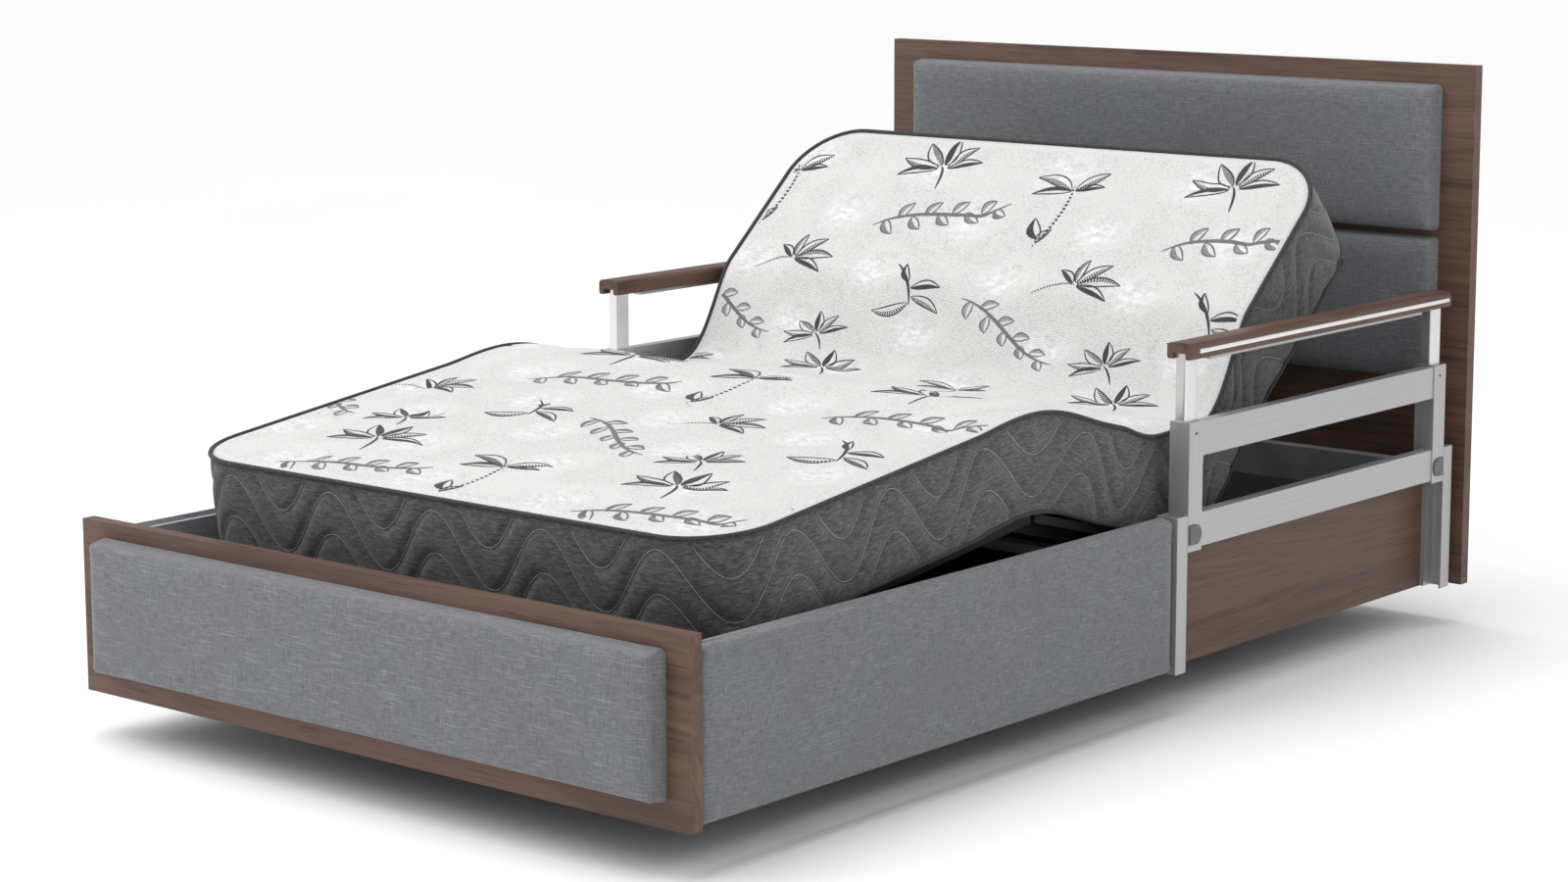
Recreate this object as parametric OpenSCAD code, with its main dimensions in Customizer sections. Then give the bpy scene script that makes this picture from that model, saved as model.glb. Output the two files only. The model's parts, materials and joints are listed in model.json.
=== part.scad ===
// Adjustable homecare bed: panelled surround, four-section deck, parallelogram lift and telescopic side rails.
// X runs across the bed, +Y from foot to head, +Z up. The origin is on the floor at the middle of the footprint.

/* [Surround] */
// Width across the outer faces of the side panels
bed_w = 1350; // [1320:10:1380]
// Clear length between footboard and headboard
inner_l = 2168; // [2160:4:2180]
// Height of the panels' lower edges above the floor, lift down
floor_gap = 75; // [75:1:85]
// Height of the side panels
side_h = 275; // [265:5:285]
// Thickness of the headboard and footboard
board_t = 25; // [18:1:30]
// Height of the footboard
foot_h = 293; // [285:1:320]
// Height of the headboard
head_h = 985; // [960:5:1100]
// Extra headboard width beyond the side panels, both sides together
head_extra = 26; // [0:2:60]
// Thickness of the upholstered pads on the boards
pad_t = 37; // [25:1:40]
// Length of the upholstered part of each side, from the footboard's front face
side_pad_end = 1239; // [1230:1:1239]

/* [Deck sections] */
// Height of the deck's top above the panels' lower edges
deck_h = 223; // [223:1:226]
// Length of the back section
back_l = 731; // [720:1:735]
// Length of the fixed seat section
seat_l = 123; // [121:1:126]
// Length of the thigh section
thigh_l = 366; // [355:1:370]
// Length of the leg section
leg_l = 775; // [765:1:780]
// Back angle as set here, in degrees
back_rest = 41.5; // [0:0.5:62]
// Steepest back angle, in degrees
back_max = 62.5; // [62.5:0.5:63]
// Thigh angle as set here, in degrees
thigh_rest = 14.7; // [14:0.1:15.5]
// Steepest thigh angle, in degrees
thigh_max = 30; // [30:1:31]

/* [Mattress] */
// Width of the mattress
mattress_w = 1200; // [1160:5:1200]
// Thickness of the mattress
mattress_t = 172; // [150:1:180]

/* [Assist rails] */
// Middle of the rails, from the footboard's front face
rail_mid = 1704; // [1700:1:1706]
// Length over the posts of the sliding ladder
ladder_l = 864; // [850:2:866]
// Height of the fixed posts
fixed_h = 272; // [268:1:275]
// Bottom of the ladder above the panels' lower edges, rail up
ladder_z = 208; // [206:1:210]
// Height of the ladder
ladder_h = 223; // [220:1:226]
// Height of a crossbar
bar_h = 59; // [50:1:60]
// Top of the handle above the panels' lower edges, rail up
handle_top = 567; // [560:1:570]
// Length of the handle
handle_l = 876; // [870:2:880]

/* [Lift] */
// Length of a lift arm between its pivots
arm_l = 520; // [516:1:524]
// Slope of the lift arms with the lift down, in degrees
arm_rest = 3; // [3:0.5:4]

/* [Hidden] */
$fn = 48;

// Colours
walnut = [0.37, 0.27, 0.23];
linen = [0.55, 0.57, 0.60];
aluminium = [0.75, 0.75, 0.76];
black_steel = [0.13, 0.13, 0.14];
grey_steel = [0.33, 0.34, 0.36];
ticking = [0.93, 0.93, 0.91];
plastic = [0.42, 0.43, 0.45];
rubber = [0.08, 0.08, 0.08];

// Lengthwise places
total_l = pad_t + board_t + inner_l + board_t;
foot_face = pad_t - total_l / 2;
foot_in = foot_face + board_t;
head_in = foot_in + inner_l;
half_w = bed_w / 2;
head_clear = 45;
back_y = head_in - head_clear - back_l;
thigh_y = back_y - seat_l;
knee_y = thigh_y - thigh_l;
leg_end_y = knee_y - leg_l;

// Heights
deck_top = floor_gap + deck_h;
deck_panel_t = 15;
panel_cut = 70;
tube_w = 30;
tube_h = 20;
axis_z = deck_top - deck_panel_t - tube_h / 2;
glide_r = 20;
glide_clear = 4;
rail_top = axis_z - glide_r - glide_clear;
rail_h = 50;
deck_bottom = rail_top - rail_h;
cross_h = 40;
cross_top = deck_bottom + cross_h;
liner_t = 6;

// Crosswise places, from the middle
frame_x = 500;
leg_frame_x = 465;
deck_rail_x = 560;
deck_rail_w = 38;
side_board_t = 12;
side_pad_t = 28;
side_in_x = half_w - side_pad_t - side_board_t;
post_w = 40;
post_x = half_w - post_w;
recess_x = post_x - 4;
recess_t = 18;
recess_h = 252;

// Hinge pins of the deck sections
pin_r = 6;
fit = 0.05;
hinge_plate_x = frame_x + tube_w + 4;
hinge_plate_t = 8;

// Drives: lever pins that run in the slots of straight push rods
lever_pin_r = 8;
slot_clear = 2;
slot_half = 9;
lever_t = 12;
yoke_t = 8;
yoke_half_h = 24;
yoke_half_l = 20;
yoke_block = 28;
yoke_end = 44;
rod_r = 9;
back_lever_r = 110;
thigh_lever_r = 100;
crank_r = 90;
back_mid = back_max / 2;
thigh_mid = thigh_max / 2;
drive_x = 170;
motor_r = 25;
back_rod_z = axis_z - back_lever_r * (1 + cos(back_mid)) / 2;
thigh_rod_z = axis_z - thigh_lever_r * (1 + cos(thigh_mid)) / 2 - 2;
lever_tube_y = 45;

// Lift: two pairs of parallel arms
lift_max = 52;
base_pivot_z = 85;
head_arm_y = 140;
foot_arm_y = -640;
arm_x = 320;
arm_t = 20;
arm_eye_r = 22;
arm_pin_r = 10;
torque_r = 21;
open_pivot_clear = 0.5;
bracket_x = 345;
bracket_t = 10;
deck_pivot_dy = arm_l * cos(arm_rest);
deck_pivot_z = base_pivot_z + arm_l * sin(arm_rest);
crank_z = base_pivot_z + crank_r * (1 + cos(lift_max / 2)) / 2;

// Walls of the steel tubes and of the aluminium crossbars
steel_wall = 3;
bar_wall = 2.5;

// Base frame
base_x = 380;
base_tube = 40;
base_z = 25;
base_half_l = 760;
base_tube_ys = [-740, 85, 605, 740];
foot_pad_y = 700;

// Deck cross tubes, with a taller one across the head end
cross_ys = [foot_in + 30, -600, foot_arm_y + deck_pivot_dy, head_arm_y + deck_pivot_dy];
head_tube_top = rail_top + 59;
seat_tube_y = thigh_y + 50;
seat_tube_w = 30;

// Rails
rail_y = foot_face + rail_mid;
body_l = 42;
lip_l = 31;
lip_t = 4;
channel_t = 8;
top_post_w = 24;
top_post_l = 34;
slide_clear = 0.5;
ladder_bottom = floor_gap + ladder_z;
ladder_top = ladder_bottom + ladder_h;
handle_h = 28;
handle_w = 48;
handle_mid_x = post_x + post_w / 2;
groove_w = 26;
groove_h = 10;
handle_bottom = floor_gap + handle_top - handle_h;
groove_top = handle_bottom + groove_h;
button_r = 17;
button_t = 3;
button_z = 29;
pocket_depth = 4.5;

// Leg section: distance from the knee axis to the glides, and its slope with the thigh raised as here
glide_l = leg_l - 15;
leg_drop = asin(thigh_l * sin(thigh_rest) / glide_l);

// Line between the two headboard pads
pad_split = 666;

// Rail posts at the foot end: near faces of the ladder post and of the fixed channel
body_y = rail_y - ladder_l / 2;
fixed_y = body_y - 1 - lip_l;

// Mattress: the height at which the back and thigh pieces meet, both raised, and its place along the bed
mattress_top = deck_top + mattress_t;
wedge_h = (seat_l - 4) / (tan(back_max / 2) + tan(thigh_max / 2));
wedge_y = thigh_y + 2 + wedge_h * tan(thigh_max / 2);
big = 900;

// Distance between two points in a plane
function dist(a, b) = norm([b[0] - a[0], b[1] - a[1]]);

// ---------- helpers ----------

// A block between two corners
module block(lo, hi) {
    translate(lo)
        cube([hi[0] - lo[0], hi[1] - lo[1], hi[2] - lo[2]]);
}

// Square tubes with open ends, along X and along Y
module tube_x(lo, hi, wall) {
    difference() {
        block(lo, hi);
        block([lo[0] - 1, lo[1] + wall, lo[2] + wall], [hi[0] + 1, hi[1] - wall, hi[2] - wall]);
    }
}

module tube_y(lo, hi, wall) {
    difference() {
        block(lo, hi);
        block([lo[0] + wall, lo[1] - 1, lo[2] + wall], [hi[0] - wall, hi[1] + 1, hi[2] - wall]);
    }
}

// A block given on the right side and repeated on the left
module both_sides() {
    children();
    mirror([1, 0, 0])
        children();
}

// A child drawn for the right side, placed on side s (1 right, -1 left)
module on_side(s) {
    scale([s, 1, 1])
        children();
}

// A round bar along X from x0 to x1
module x_bar(x0, x1, y, z, r) {
    translate([x0, y, z])
        rotate([0, 90, 0])
            cylinder(r = r, h = x1 - x0);
}

// A round bar along Y from y0 to y1
module y_bar(y0, y1, x, z, r) {
    translate([x, y1, z])
        rotate([90, 0, 0])
            cylinder(r = r, h = y1 - y0);
}

// A flat outline in the YZ plane, made solid between x0 and x1
module yz_plate(x0, x1) {
    translate([x0, 0, 0])
        rotate([90, 0, 90])
            linear_extrude(x1 - x0)
                children();
}

// Outline of a link from a to b, with a round end of radius ra and rb at each
module link_outline(a, b, ra, rb, width) {
    if (ra > 0)
        translate(a)
            circle(ra);
    translate(b)
        circle(rb);
    translate(a)
        rotate(atan2(b[1] - a[1], b[0] - a[0]))
            translate([0, -width / 2])
                square([dist(a, b), width]);
}

// Turns children about an X axis through (y, z)
module turn(y, z, angle) {
    translate([0, y, z])
        rotate([angle, 0, 0])
            translate([0, -y, -z])
                children();
}

// The deck sections' poses, from flat
module pose_back() {
    turn(back_y, axis_z, back_rest)
        children();
}

module pose_thigh() {
    turn(thigh_y, axis_z, -thigh_rest)
        children();
}

module pose_leg() {
    pose_thigh()
        turn(knee_y, axis_z, thigh_rest + leg_drop)
            children();
}

// A push rod with a slotted fork: pin at (y, z), rod towards -Y for dir = -1, towards +Y for dir = 1
module push_rod(x, y, z, dir, rod_l) {
    slot_r = lever_pin_r + slot_clear;
    translate([x, y, z])
        scale([1, dir, 1]) {
            for (side = [-1, 1])
                difference() {
                    block(
                        [side * (lever_t / 2 + 2 + yoke_t / 2) - yoke_t / 2, -yoke_half_l, -yoke_half_h],
                        [side * (lever_t / 2 + 2 + yoke_t / 2) + yoke_t / 2, yoke_end, yoke_half_h]
                    );
                    for (dz = [-slot_half, slot_half])
                        x_bar(-30, 30, 0, dz, slot_r);
                    block([-30, -slot_r, -slot_half], [30, slot_r, slot_half]);
                }
            block([-lever_t / 2 - 2 - yoke_t, yoke_block, -15], [lever_t / 2 + 2 + yoke_t, yoke_end, 15]);
            y_bar(yoke_end - 1, yoke_end + rod_l, 0, 0, rod_r);
        }
}

// A linear drive along Y: mouth at y, body towards dir, motor can beside it at dx
module linear_drive(x, y, z, dir, body_l, bore_l, dx) {
    translate([x, y, z])
        scale([1, dir, 1])
            difference() {
                union() {
                    y_bar(0, body_l - 60, 0, 0, motor_r);
                    y_bar(body_l - 190, body_l - 60, dx, 0, motor_r - 2);
                    block(
                        [min(0, dx) - motor_r, body_l - 70, -motor_r],
                        [max(0, dx) + motor_r, body_l, motor_r]
                    );
                }
                y_bar(-1, bore_l, 0, 0, rod_r + 0.5);
            }
}

// ---------- base ----------

module base_side_rails() {
    color(black_steel)
        both_sides()
            tube_y(
                [base_x, -base_half_l, base_z],
                [base_x + base_tube, base_half_l, base_z + base_tube],
                steel_wall
            );
}

module base_cross_tubes() {
    color(black_steel)
        for (y = base_tube_ys)
            tube_x([-base_x, y - 20, base_z], [base_x, y + 20, base_z + base_tube], steel_wall);
}

// Upright plates with welded pivot pins for the lift arms
module base_pivot_brackets() {
    top = base_z + base_tube;
    color(grey_steel)
        both_sides()
            for (p = [[head_arm_y, base_tube_ys[1] - 20], [foot_arm_y, base_tube_ys[0] - 20]]) {
                block([bracket_x, p[1], top], [bracket_x + bracket_t, p[0] + 25, base_pivot_z + 25]);
                x_bar(arm_x - 2, bracket_x + 1, p[0], base_pivot_z, arm_pin_r);
            }
}

module levelling_feet() {
    color(rubber)
        both_sides()
            for (y = [-foot_pad_y, foot_pad_y])
                translate([base_x + base_tube / 2, y, 0]) {
                    cylinder(r = 30, h = 10);
                    cylinder(r = 10, h = base_z);
                }
}

module lift_motor() {
    mouth = head_arm_y + crank_r * sin(lift_max / 2) + yoke_end + 6;
    color(black_steel) {
        linear_drive(0, mouth, crank_z, 1, 375, 155, 50);
        block([-20, 590, base_z + base_tube], [20, 604, crank_z - 10]);
    }
}

module lift_motor_rod() {
    color(aluminium)
        push_rod(0, head_arm_y + crank_r * sin(lift_max / 2), crank_z, 1, 150);
}

// ---------- lift arms ----------

// One pair of arms from the base pivots up to the deck pivots
module arm_pair(y, deck_bore_r) {
    deck_p = [y + deck_pivot_dy, deck_pivot_z];
    both_sides()
        yz_plate(arm_x, arm_x + arm_t)
            difference() {
                link_outline([y, base_pivot_z], deck_p, arm_eye_r, arm_eye_r, 36);
                translate([y, base_pivot_z])
                    circle(arm_pin_r + fit);
                translate(deck_p)
                    circle(deck_bore_r);
            }
}

module torque_tube(y, r, wall) {
    difference() {
        x_bar(-arm_x, arm_x, y, base_pivot_z, r);
        x_bar(-arm_x - 1, arm_x + 1, y, base_pivot_z, r - wall);
    }
}

module head_lift_arms() {
    color(grey_steel)
        arm_pair(head_arm_y, arm_pin_r + fit);
}

module head_torque_tube() {
    color(grey_steel)
        torque_tube(head_arm_y, torque_r, 6);
}

module lift_crank() {
    pin_y = head_arm_y + crank_r * sin(lift_max / 2);
    pin_z = base_pivot_z + crank_r * cos(lift_max / 2);
    color(grey_steel) {
        yz_plate(-lever_t / 2, lever_t / 2)
            difference() {
                link_outline([head_arm_y, base_pivot_z], [pin_y, pin_z], 32, 14, 26);
                translate([head_arm_y, base_pivot_z])
                    circle(torque_r);
            }
        x_bar(-lever_t / 2 - 10, lever_t / 2 + 10, pin_y, pin_z, lever_pin_r);
    }
}

module foot_lift_arms() {
    color(grey_steel)
        arm_pair(foot_arm_y, arm_pin_r + open_pivot_clear);
}

module foot_cross_tube() {
    color(grey_steel)
        torque_tube(foot_arm_y, 18, 5);
}

// ---------- deck frame ----------

module deck_side_rails() {
    color(black_steel)
        both_sides()
            tube_y(
                [deck_rail_x, foot_in, deck_bottom],
                [deck_rail_x + deck_rail_w, head_in, rail_top],
                steel_wall
            );
}

module deck_cross_tubes() {
    color(black_steel) {
        for (y = cross_ys)
            tube_x([-deck_rail_x, y - 20, deck_bottom], [deck_rail_x, y + 20, cross_top], steel_wall);
        tube_x([-deck_rail_x, head_in - 35, deck_bottom], [deck_rail_x, head_in - 5, head_tube_top], steel_wall);
        tube_x(
            [-deck_rail_x, seat_tube_y - seat_tube_w / 2, deck_bottom],
            [deck_rail_x, seat_tube_y + seat_tube_w / 2, cross_top],
            steel_wall
        );
    }
}

// Hanging plates with welded pins for the upper ends of the lift arms
module deck_pivot_brackets() {
    color(grey_steel)
        both_sides()
            for (y = [head_arm_y, foot_arm_y] + [deck_pivot_dy, deck_pivot_dy]) {
                block(
                    [bracket_x, y - 25, deck_pivot_z - 20],
                    [bracket_x + bracket_t, y + 25, deck_bottom]
                );
                x_bar(arm_x - 2, bracket_x + 1, y, deck_pivot_z, arm_pin_r);
            }
}

// Black boards on the cross tubes, under the back and leg sections
module deck_liners() {
    color(black_steel)
        for (span = [[back_y + 75, head_in - 50], [foot_in + 5, thigh_y - 60]])
            block([-deck_rail_x + 2, span[0], cross_top], [deck_rail_x - 2, span[1], cross_top + liner_t]);
}

module seat_panel() {
    color(black_steel)
        block(
            [-mattress_w / 2 + 10, thigh_y + 16, deck_top - deck_panel_t],
            [mattress_w / 2 - 10, back_y - 24, deck_top]
        );
}

// Side plates that carry the hinge pins of the back and thigh sections
module seat_hinge_plates() {
    color(grey_steel)
        both_sides() {
            block(
                [hinge_plate_x, thigh_y - 14, cross_top],
                [hinge_plate_x + hinge_plate_t, back_y + 14, axis_z + 9]
            );
            for (y = [thigh_y, back_y])
                x_bar(frame_x - 2, hinge_plate_x + 1, y, axis_z, pin_r);
        }
}

module panel_brackets() {
    color(grey_steel)
        both_sides() {
            for (y = [foot_in + 200, foot_in + 950])
                block(
                    [deck_rail_x + deck_rail_w, y - 25, deck_bottom + 5],
                    [side_in_x, y + 25, rail_top - 5]
                );
            for (y = [rail_y - 330, rail_y + 330])
                block(
                    [deck_rail_x + deck_rail_w, y - 25, deck_bottom + 5],
                    [recess_x - recess_t, y + 25, rail_top - 5]
                );
        }
}

// Electronics box under a deck cross tube, with a mains inlet and three drive sockets
module control_box() {
    lo = [-95, cross_ys[1] - 20, deck_bottom - 52];
    hi = [95, cross_ys[1] + 110, deck_bottom];
    color(plastic)
        difference() {
            block(lo, hi);
            block([60, lo[1] - 1, lo[2] + 12], [84, lo[1] + 14, lo[2] + 36]);
            for (x = [-70, -45, -20])
                y_bar(lo[1] - 1, lo[1] + 12, x, lo[2] + 24, 7);
        }
}

module back_motor() {
    mouth = back_y - back_lever_r * sin(back_mid) - yoke_end - 6;
    color(black_steel) {
        linear_drive(-drive_x, mouth, back_rod_z, -1, 400, 200, 50);
        block(
            [-drive_x - 20, cross_ys[2] - 18, back_rod_z + 10],
            [-drive_x + 20, cross_ys[2] + 18, deck_bottom]
        );
    }
}

module back_motor_rod() {
    pin = back_y + back_lever_r * sin(back_rest - back_mid);
    color(aluminium)
        push_rod(-drive_x, pin, back_rod_z, -1, 190);
}

module knee_motor() {
    mouth = thigh_y + thigh_lever_r * sin(thigh_mid) + yoke_end + 6;
    color(black_steel) {
        linear_drive(drive_x, mouth, thigh_rod_z, 1, 400, 130, -50);
        block(
            [drive_x - 20, cross_ys[3] - 18, thigh_rod_z + 10],
            [drive_x + 20, cross_ys[3] + 18, deck_bottom]
        );
    }
}

module knee_motor_rod() {
    pin = thigh_y - thigh_lever_r * sin(thigh_rest - thigh_mid);
    color(aluminium)
        push_rod(drive_x, pin, thigh_rod_z, 1, 125);
}

// ---------- surround ----------

module headboard() {
    half = (bed_w + head_extra) / 2;
    color(walnut)
        block([-half, head_in, floor_gap], [half, head_in + board_t, floor_gap + head_h]);
}

module head_pad(z0, z1) {
    half = (bed_w + head_extra) / 2 - 66;
    color(linen)
        block([-half, head_in - pad_t, floor_gap + z0], [half, head_in, floor_gap + z1]);
}

module headboard_pad_upper() {
    head_pad(pad_split + 3, head_h - 35);
}

module headboard_pad_lower() {
    head_pad(386, pad_split - 3);
}

module footboard() {
    color(walnut)
        block([-half_w, foot_face, floor_gap], [half_w, foot_in, floor_gap + foot_h]);
}

module footboard_pad() {
    half = half_w - 44;
    color(linen)
        block([-half, foot_face - pad_t, floor_gap + 36], [half, foot_face, floor_gap + foot_h - 24]);
}

module side_boards() {
    color(black_steel)
        both_sides()
            block(
                [side_in_x, foot_in, floor_gap + 8],
                [side_in_x + side_board_t, foot_face + side_pad_end, floor_gap + side_h - 10]
            );
}

module side_pad(s) {
    color(linen)
        on_side(s)
            block(
                [half_w - side_pad_t, foot_in, floor_gap],
                [half_w, foot_face + side_pad_end, floor_gap + side_h]
            );
}

module side_pad_left() {
    side_pad(-1);
}

module side_pad_right() {
    side_pad(1);
}

module recessed_side_panels() {
    color(walnut)
        both_sides()
            block(
                [recess_x - recess_t, foot_face + side_pad_end + 1, floor_gap],
                [recess_x, head_in, floor_gap + recess_h]
            );
}

// ---------- assist rails ----------

// A child drawn at the foot end of the rail, repeated at its head end
module both_ends() {
    children();
    translate([0, 2 * rail_y, 0])
        mirror([0, 1, 0])
            children();
}

// C channels on the recessed panels, open towards the ladder
module rail_fixed_posts() {
    top = floor_gap + fixed_h;
    color(aluminium)
        both_sides()
            both_ends()
                difference() {
                    block([recess_x, fixed_y, floor_gap], [half_w, fixed_y + lip_l, top]);
                    block(
                        [recess_x + channel_t, fixed_y + lip_t, floor_gap - 1],
                        [half_w - lip_t, fixed_y + lip_l + 1, top + 1]
                    );
                }
}

// Square tubes with a guide block that runs in the fixed channel
module ladder_posts(s) {
    cavity_x = post_x + (post_w - top_post_w) / 2 - slide_clear;
    cavity_y = body_y + (body_l - top_post_l) / 2 - slide_clear;
    color(aluminium)
        on_side(s)
            both_ends()
                difference() {
                    union() {
                        block([post_x, body_y, ladder_bottom], [half_w, body_y + body_l, ladder_top]);
                        block(
                            [recess_x + channel_t + 1, fixed_y + lip_t + 1, ladder_bottom + 4],
                            [half_w - lip_t - 1, body_y + 1, ladder_bottom + 60]
                        );
                    }
                    block(
                        [cavity_x, cavity_y, ladder_bottom - 1],
                        [
                            cavity_x + top_post_w + 2 * slide_clear,
                            cavity_y + top_post_l + 2 * slide_clear,
                            ladder_top + 1
                        ]
                    );
                    d_solid(half_w - pocket_depth, half_w + 1, button_r + slide_clear, -1);
                }
}

module ladder_bars(s) {
    color(aluminium)
        on_side(s)
            for (z = [ladder_bottom + 5, ladder_top - bar_h - 2])
                tube_y(
                    [post_x + 16, body_y + body_l, z],
                    [half_w - 2, 2 * rail_y - body_y - body_l, z + bar_h],
                    bar_wall
                );
}

// Inner posts with bullnosed outer edges
module top_posts(s) {
    r = 9;
    x0 = post_x + (post_w - top_post_w) / 2;
    y0 = body_y + (body_l - top_post_l) / 2;
    bottom = ladder_top - 101;
    color(aluminium)
        on_side(s)
            both_ends()
                translate([x0, y0, bottom])
                    linear_extrude(groove_top - bottom) {
                        square([top_post_w - r, top_post_l]);
                        translate([0, r])
                            square([top_post_w, top_post_l - 2 * r]);
                        for (y = [r, top_post_l - r])
                            translate([top_post_w - r, y])
                                circle(r);
                    }
}

// Wooden grip: rounded shoulders and a groove underneath
module handle(s) {
    r = 9;
    w = handle_w / 2;
    color(walnut)
        on_side(s)
            translate([handle_mid_x, rail_y + handle_l / 2, handle_bottom])
                rotate([90, 0, 0])
                    linear_extrude(handle_l)
                        difference() {
                            union() {
                                translate([-w, 2])
                                    square([2 * w, handle_h - r - 2]);
                                translate([-w + r, 0])
                                    square([2 * w - 2 * r, handle_h]);
                                translate([-w + 2, 0])
                                    square([2 * w - 4, 4]);
                                for (x = [-w + r, w - r])
                                    translate([x, handle_h - r])
                                        circle(r);
                            }
                            translate([-groove_w / 2, -1])
                                square([groove_w, groove_h + 1]);
                        }
}

// Release bar under the grip, squeezed upwards
module squeeze_bar(s) {
    gap = 34;
    y0 = body_y + body_l + gap;
    color(aluminium)
        on_side(s)
            block(
                [handle_mid_x - 9, y0, handle_bottom - 8],
                [handle_mid_x + 9, 2 * rail_y - y0, handle_bottom + 5]
            );
}

// D outline with its flat side towards the rail's near end, in the plane of the post's face
module d_outline(r, end) {
    circle(r);
    translate([-r, end > 0 ? 0 : -r])
        square([2 * r, r]);
}

// The D as a solid from x0 to x1; end = -1 at the foot end, 1 at the head end
module d_solid(x0, x1, r, end) {
    translate([x1, rail_y + end * (ladder_l - body_l) / 2, ladder_bottom + button_z])
        rotate([0, -90, 0])
            linear_extrude(x1 - x0)
                d_outline(r, end);
}

// Release button standing proud of the pocket in its post
module release_button(s, end) {
    color(plastic)
        on_side(s)
            d_solid(half_w - 2, half_w + button_t, button_r, end);
}

module ladder_posts_left() {
    ladder_posts(-1);
}

module ladder_posts_right() {
    ladder_posts(1);
}

module ladder_bars_left() {
    ladder_bars(-1);
}

module ladder_bars_right() {
    ladder_bars(1);
}

module top_posts_left() {
    top_posts(-1);
}

module top_posts_right() {
    top_posts(1);
}

module handle_left() {
    handle(-1);
}

module handle_right() {
    handle(1);
}

module squeeze_bar_left() {
    squeeze_bar(-1);
}

module squeeze_bar_right() {
    squeeze_bar(1);
}

module button_front_left() {
    release_button(-1, -1);
}

module button_rear_left() {
    release_button(-1, 1);
}

module button_front_right() {
    release_button(1, -1);
}

module button_rear_right() {
    release_button(1, 1);
}

// ---------- deck sections ----------

// A pair of side tubes from y0 to y1 with a hinge eye at eye_y
module section_tubes(x, y0, y1, eye_y) {
    both_sides()
        difference() {
            union() {
                block([x, y0, axis_z - tube_h / 2], [x + tube_w, y1, axis_z + tube_h / 2]);
                x_bar(x, x + tube_w, eye_y, axis_z, tube_h / 2);
            }
            x_bar(x - 1, x + tube_w + 1, eye_y, axis_z, pin_r + fit);
        }
}

module section_panel(y0, y1) {
    block([-mattress_w / 2 + 10, y0, deck_top - deck_panel_t], [mattress_w / 2 - 10, y1, deck_top]);
}

// A deck board from its hinge end to its free end, whose corners are cut off under the mattress's round corners
module cut_panel(y_hinge, y_free) {
    w = mattress_w / 2 - 10;
    y_cut = y_free - sign(y_free - y_hinge) * panel_cut;
    translate([0, 0, deck_top - deck_panel_t])
        linear_extrude(height = deck_panel_t)
            polygon([
                [-w, y_hinge], [w, y_hinge], [w, y_cut],
                [w - panel_cut, y_free], [panel_cut - w, y_free], [-w, y_cut]
            ]);
}

// A cross tube with a drive lever: tube at tube_y, pin at radius r and angle from straight down, about hinge y
module lever_on_tube(x, tube_y, y, r, angle) {
    pin = [y + r * sin(angle), axis_z - r * cos(angle)];
    block([-frame_x, tube_y - 15, axis_z - tube_h / 2], [frame_x, tube_y + 15, axis_z + tube_h / 2]);
    yz_plate(x - lever_t / 2, x + lever_t / 2)
        link_outline([tube_y, axis_z], pin, 0, 14, 18);
    x_bar(x - lever_t / 2 - 10, x + lever_t / 2 + 10, pin[0], pin[1], lever_pin_r);
}

module back_frame() {
    color(grey_steel)
        pose_back()
            section_tubes(frame_x, back_y, back_y + back_l - 30, back_y);
}

module back_panel() {
    color(black_steel)
        pose_back()
            cut_panel(back_y + 6, back_y + back_l - 6);
}

module back_lever() {
    color(grey_steel)
        pose_back()
            lever_on_tube(-drive_x, back_y + lever_tube_y, back_y, back_lever_r, -back_mid);
}

module thigh_frame() {
    color(grey_steel)
        pose_thigh() {
            section_tubes(frame_x, knee_y, thigh_y, thigh_y);
            both_sides()
                x_bar(leg_frame_x - 2, frame_x + 1, knee_y, axis_z, pin_r);
        }
}

module thigh_panel() {
    color(black_steel)
        pose_thigh()
            section_panel(knee_y + 3, thigh_y - 5);
}

module thigh_lever() {
    color(grey_steel)
        pose_thigh()
            lever_on_tube(drive_x, thigh_y - lever_tube_y, thigh_y, thigh_lever_r, thigh_mid);
}

module leg_frame() {
    color(grey_steel)
        pose_leg()
            section_tubes(leg_frame_x, leg_end_y + 30, knee_y, knee_y);
}

module leg_panel() {
    color(black_steel)
        pose_leg()
            cut_panel(knee_y - 3, leg_end_y + 6);
}

// End tube of the leg section with a round-nosed nylon glide at each end
module leg_glide_bar() {
    y = leg_end_y + 15;
    nose_r = 6;
    color(plastic)
        pose_leg() {
            block([-deck_rail_x - 8, y - 10, axis_z - 10], [deck_rail_x + 8, y + 10, axis_z + 9]);
            both_sides()
                yz_plate(deck_rail_x + 6, deck_rail_x + deck_rail_w - 2)
                    link_outline([y, axis_z], [y, axis_z - glide_r + nose_r], 0, nose_r, 2 * nose_r);
        }
}

// ---------- mattress ----------

module mattress_block(y0, y1) {
    color(ticking)
        block([-mattress_w / 2, y0, deck_top], [mattress_w / 2, y1, mattress_top]);
}

// Everything foot-side of a plane through (y, z) that leans by angle towards the head
module foot_side(y, z, angle) {
    turn(y, z, -angle)
        block([-big, y - big, z - big], [big, y, z + big]);
}

module head_side(y, z, angle) {
    turn(y, z, -angle)
        block([-big, y, z - big], [big, y + big, z + big]);
}

module mattress_back() {
    color(ticking)
        pose_back()
            difference() {
                mattress_block(back_y, back_y + back_l);
                foot_side(back_y + 2, axis_z, back_max / 2);
                turn(back_y, axis_z, -back_max)
                    foot_side(wedge_y + 2, axis_z, 0);
            }
}

module mattress_seat() {
    color(ticking)
        difference() {
            mattress_block(thigh_y, back_y);
            head_side(back_y - 2, axis_z, -back_max / 2);
            foot_side(thigh_y + 2, axis_z, thigh_max / 2);
        }
}

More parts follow.
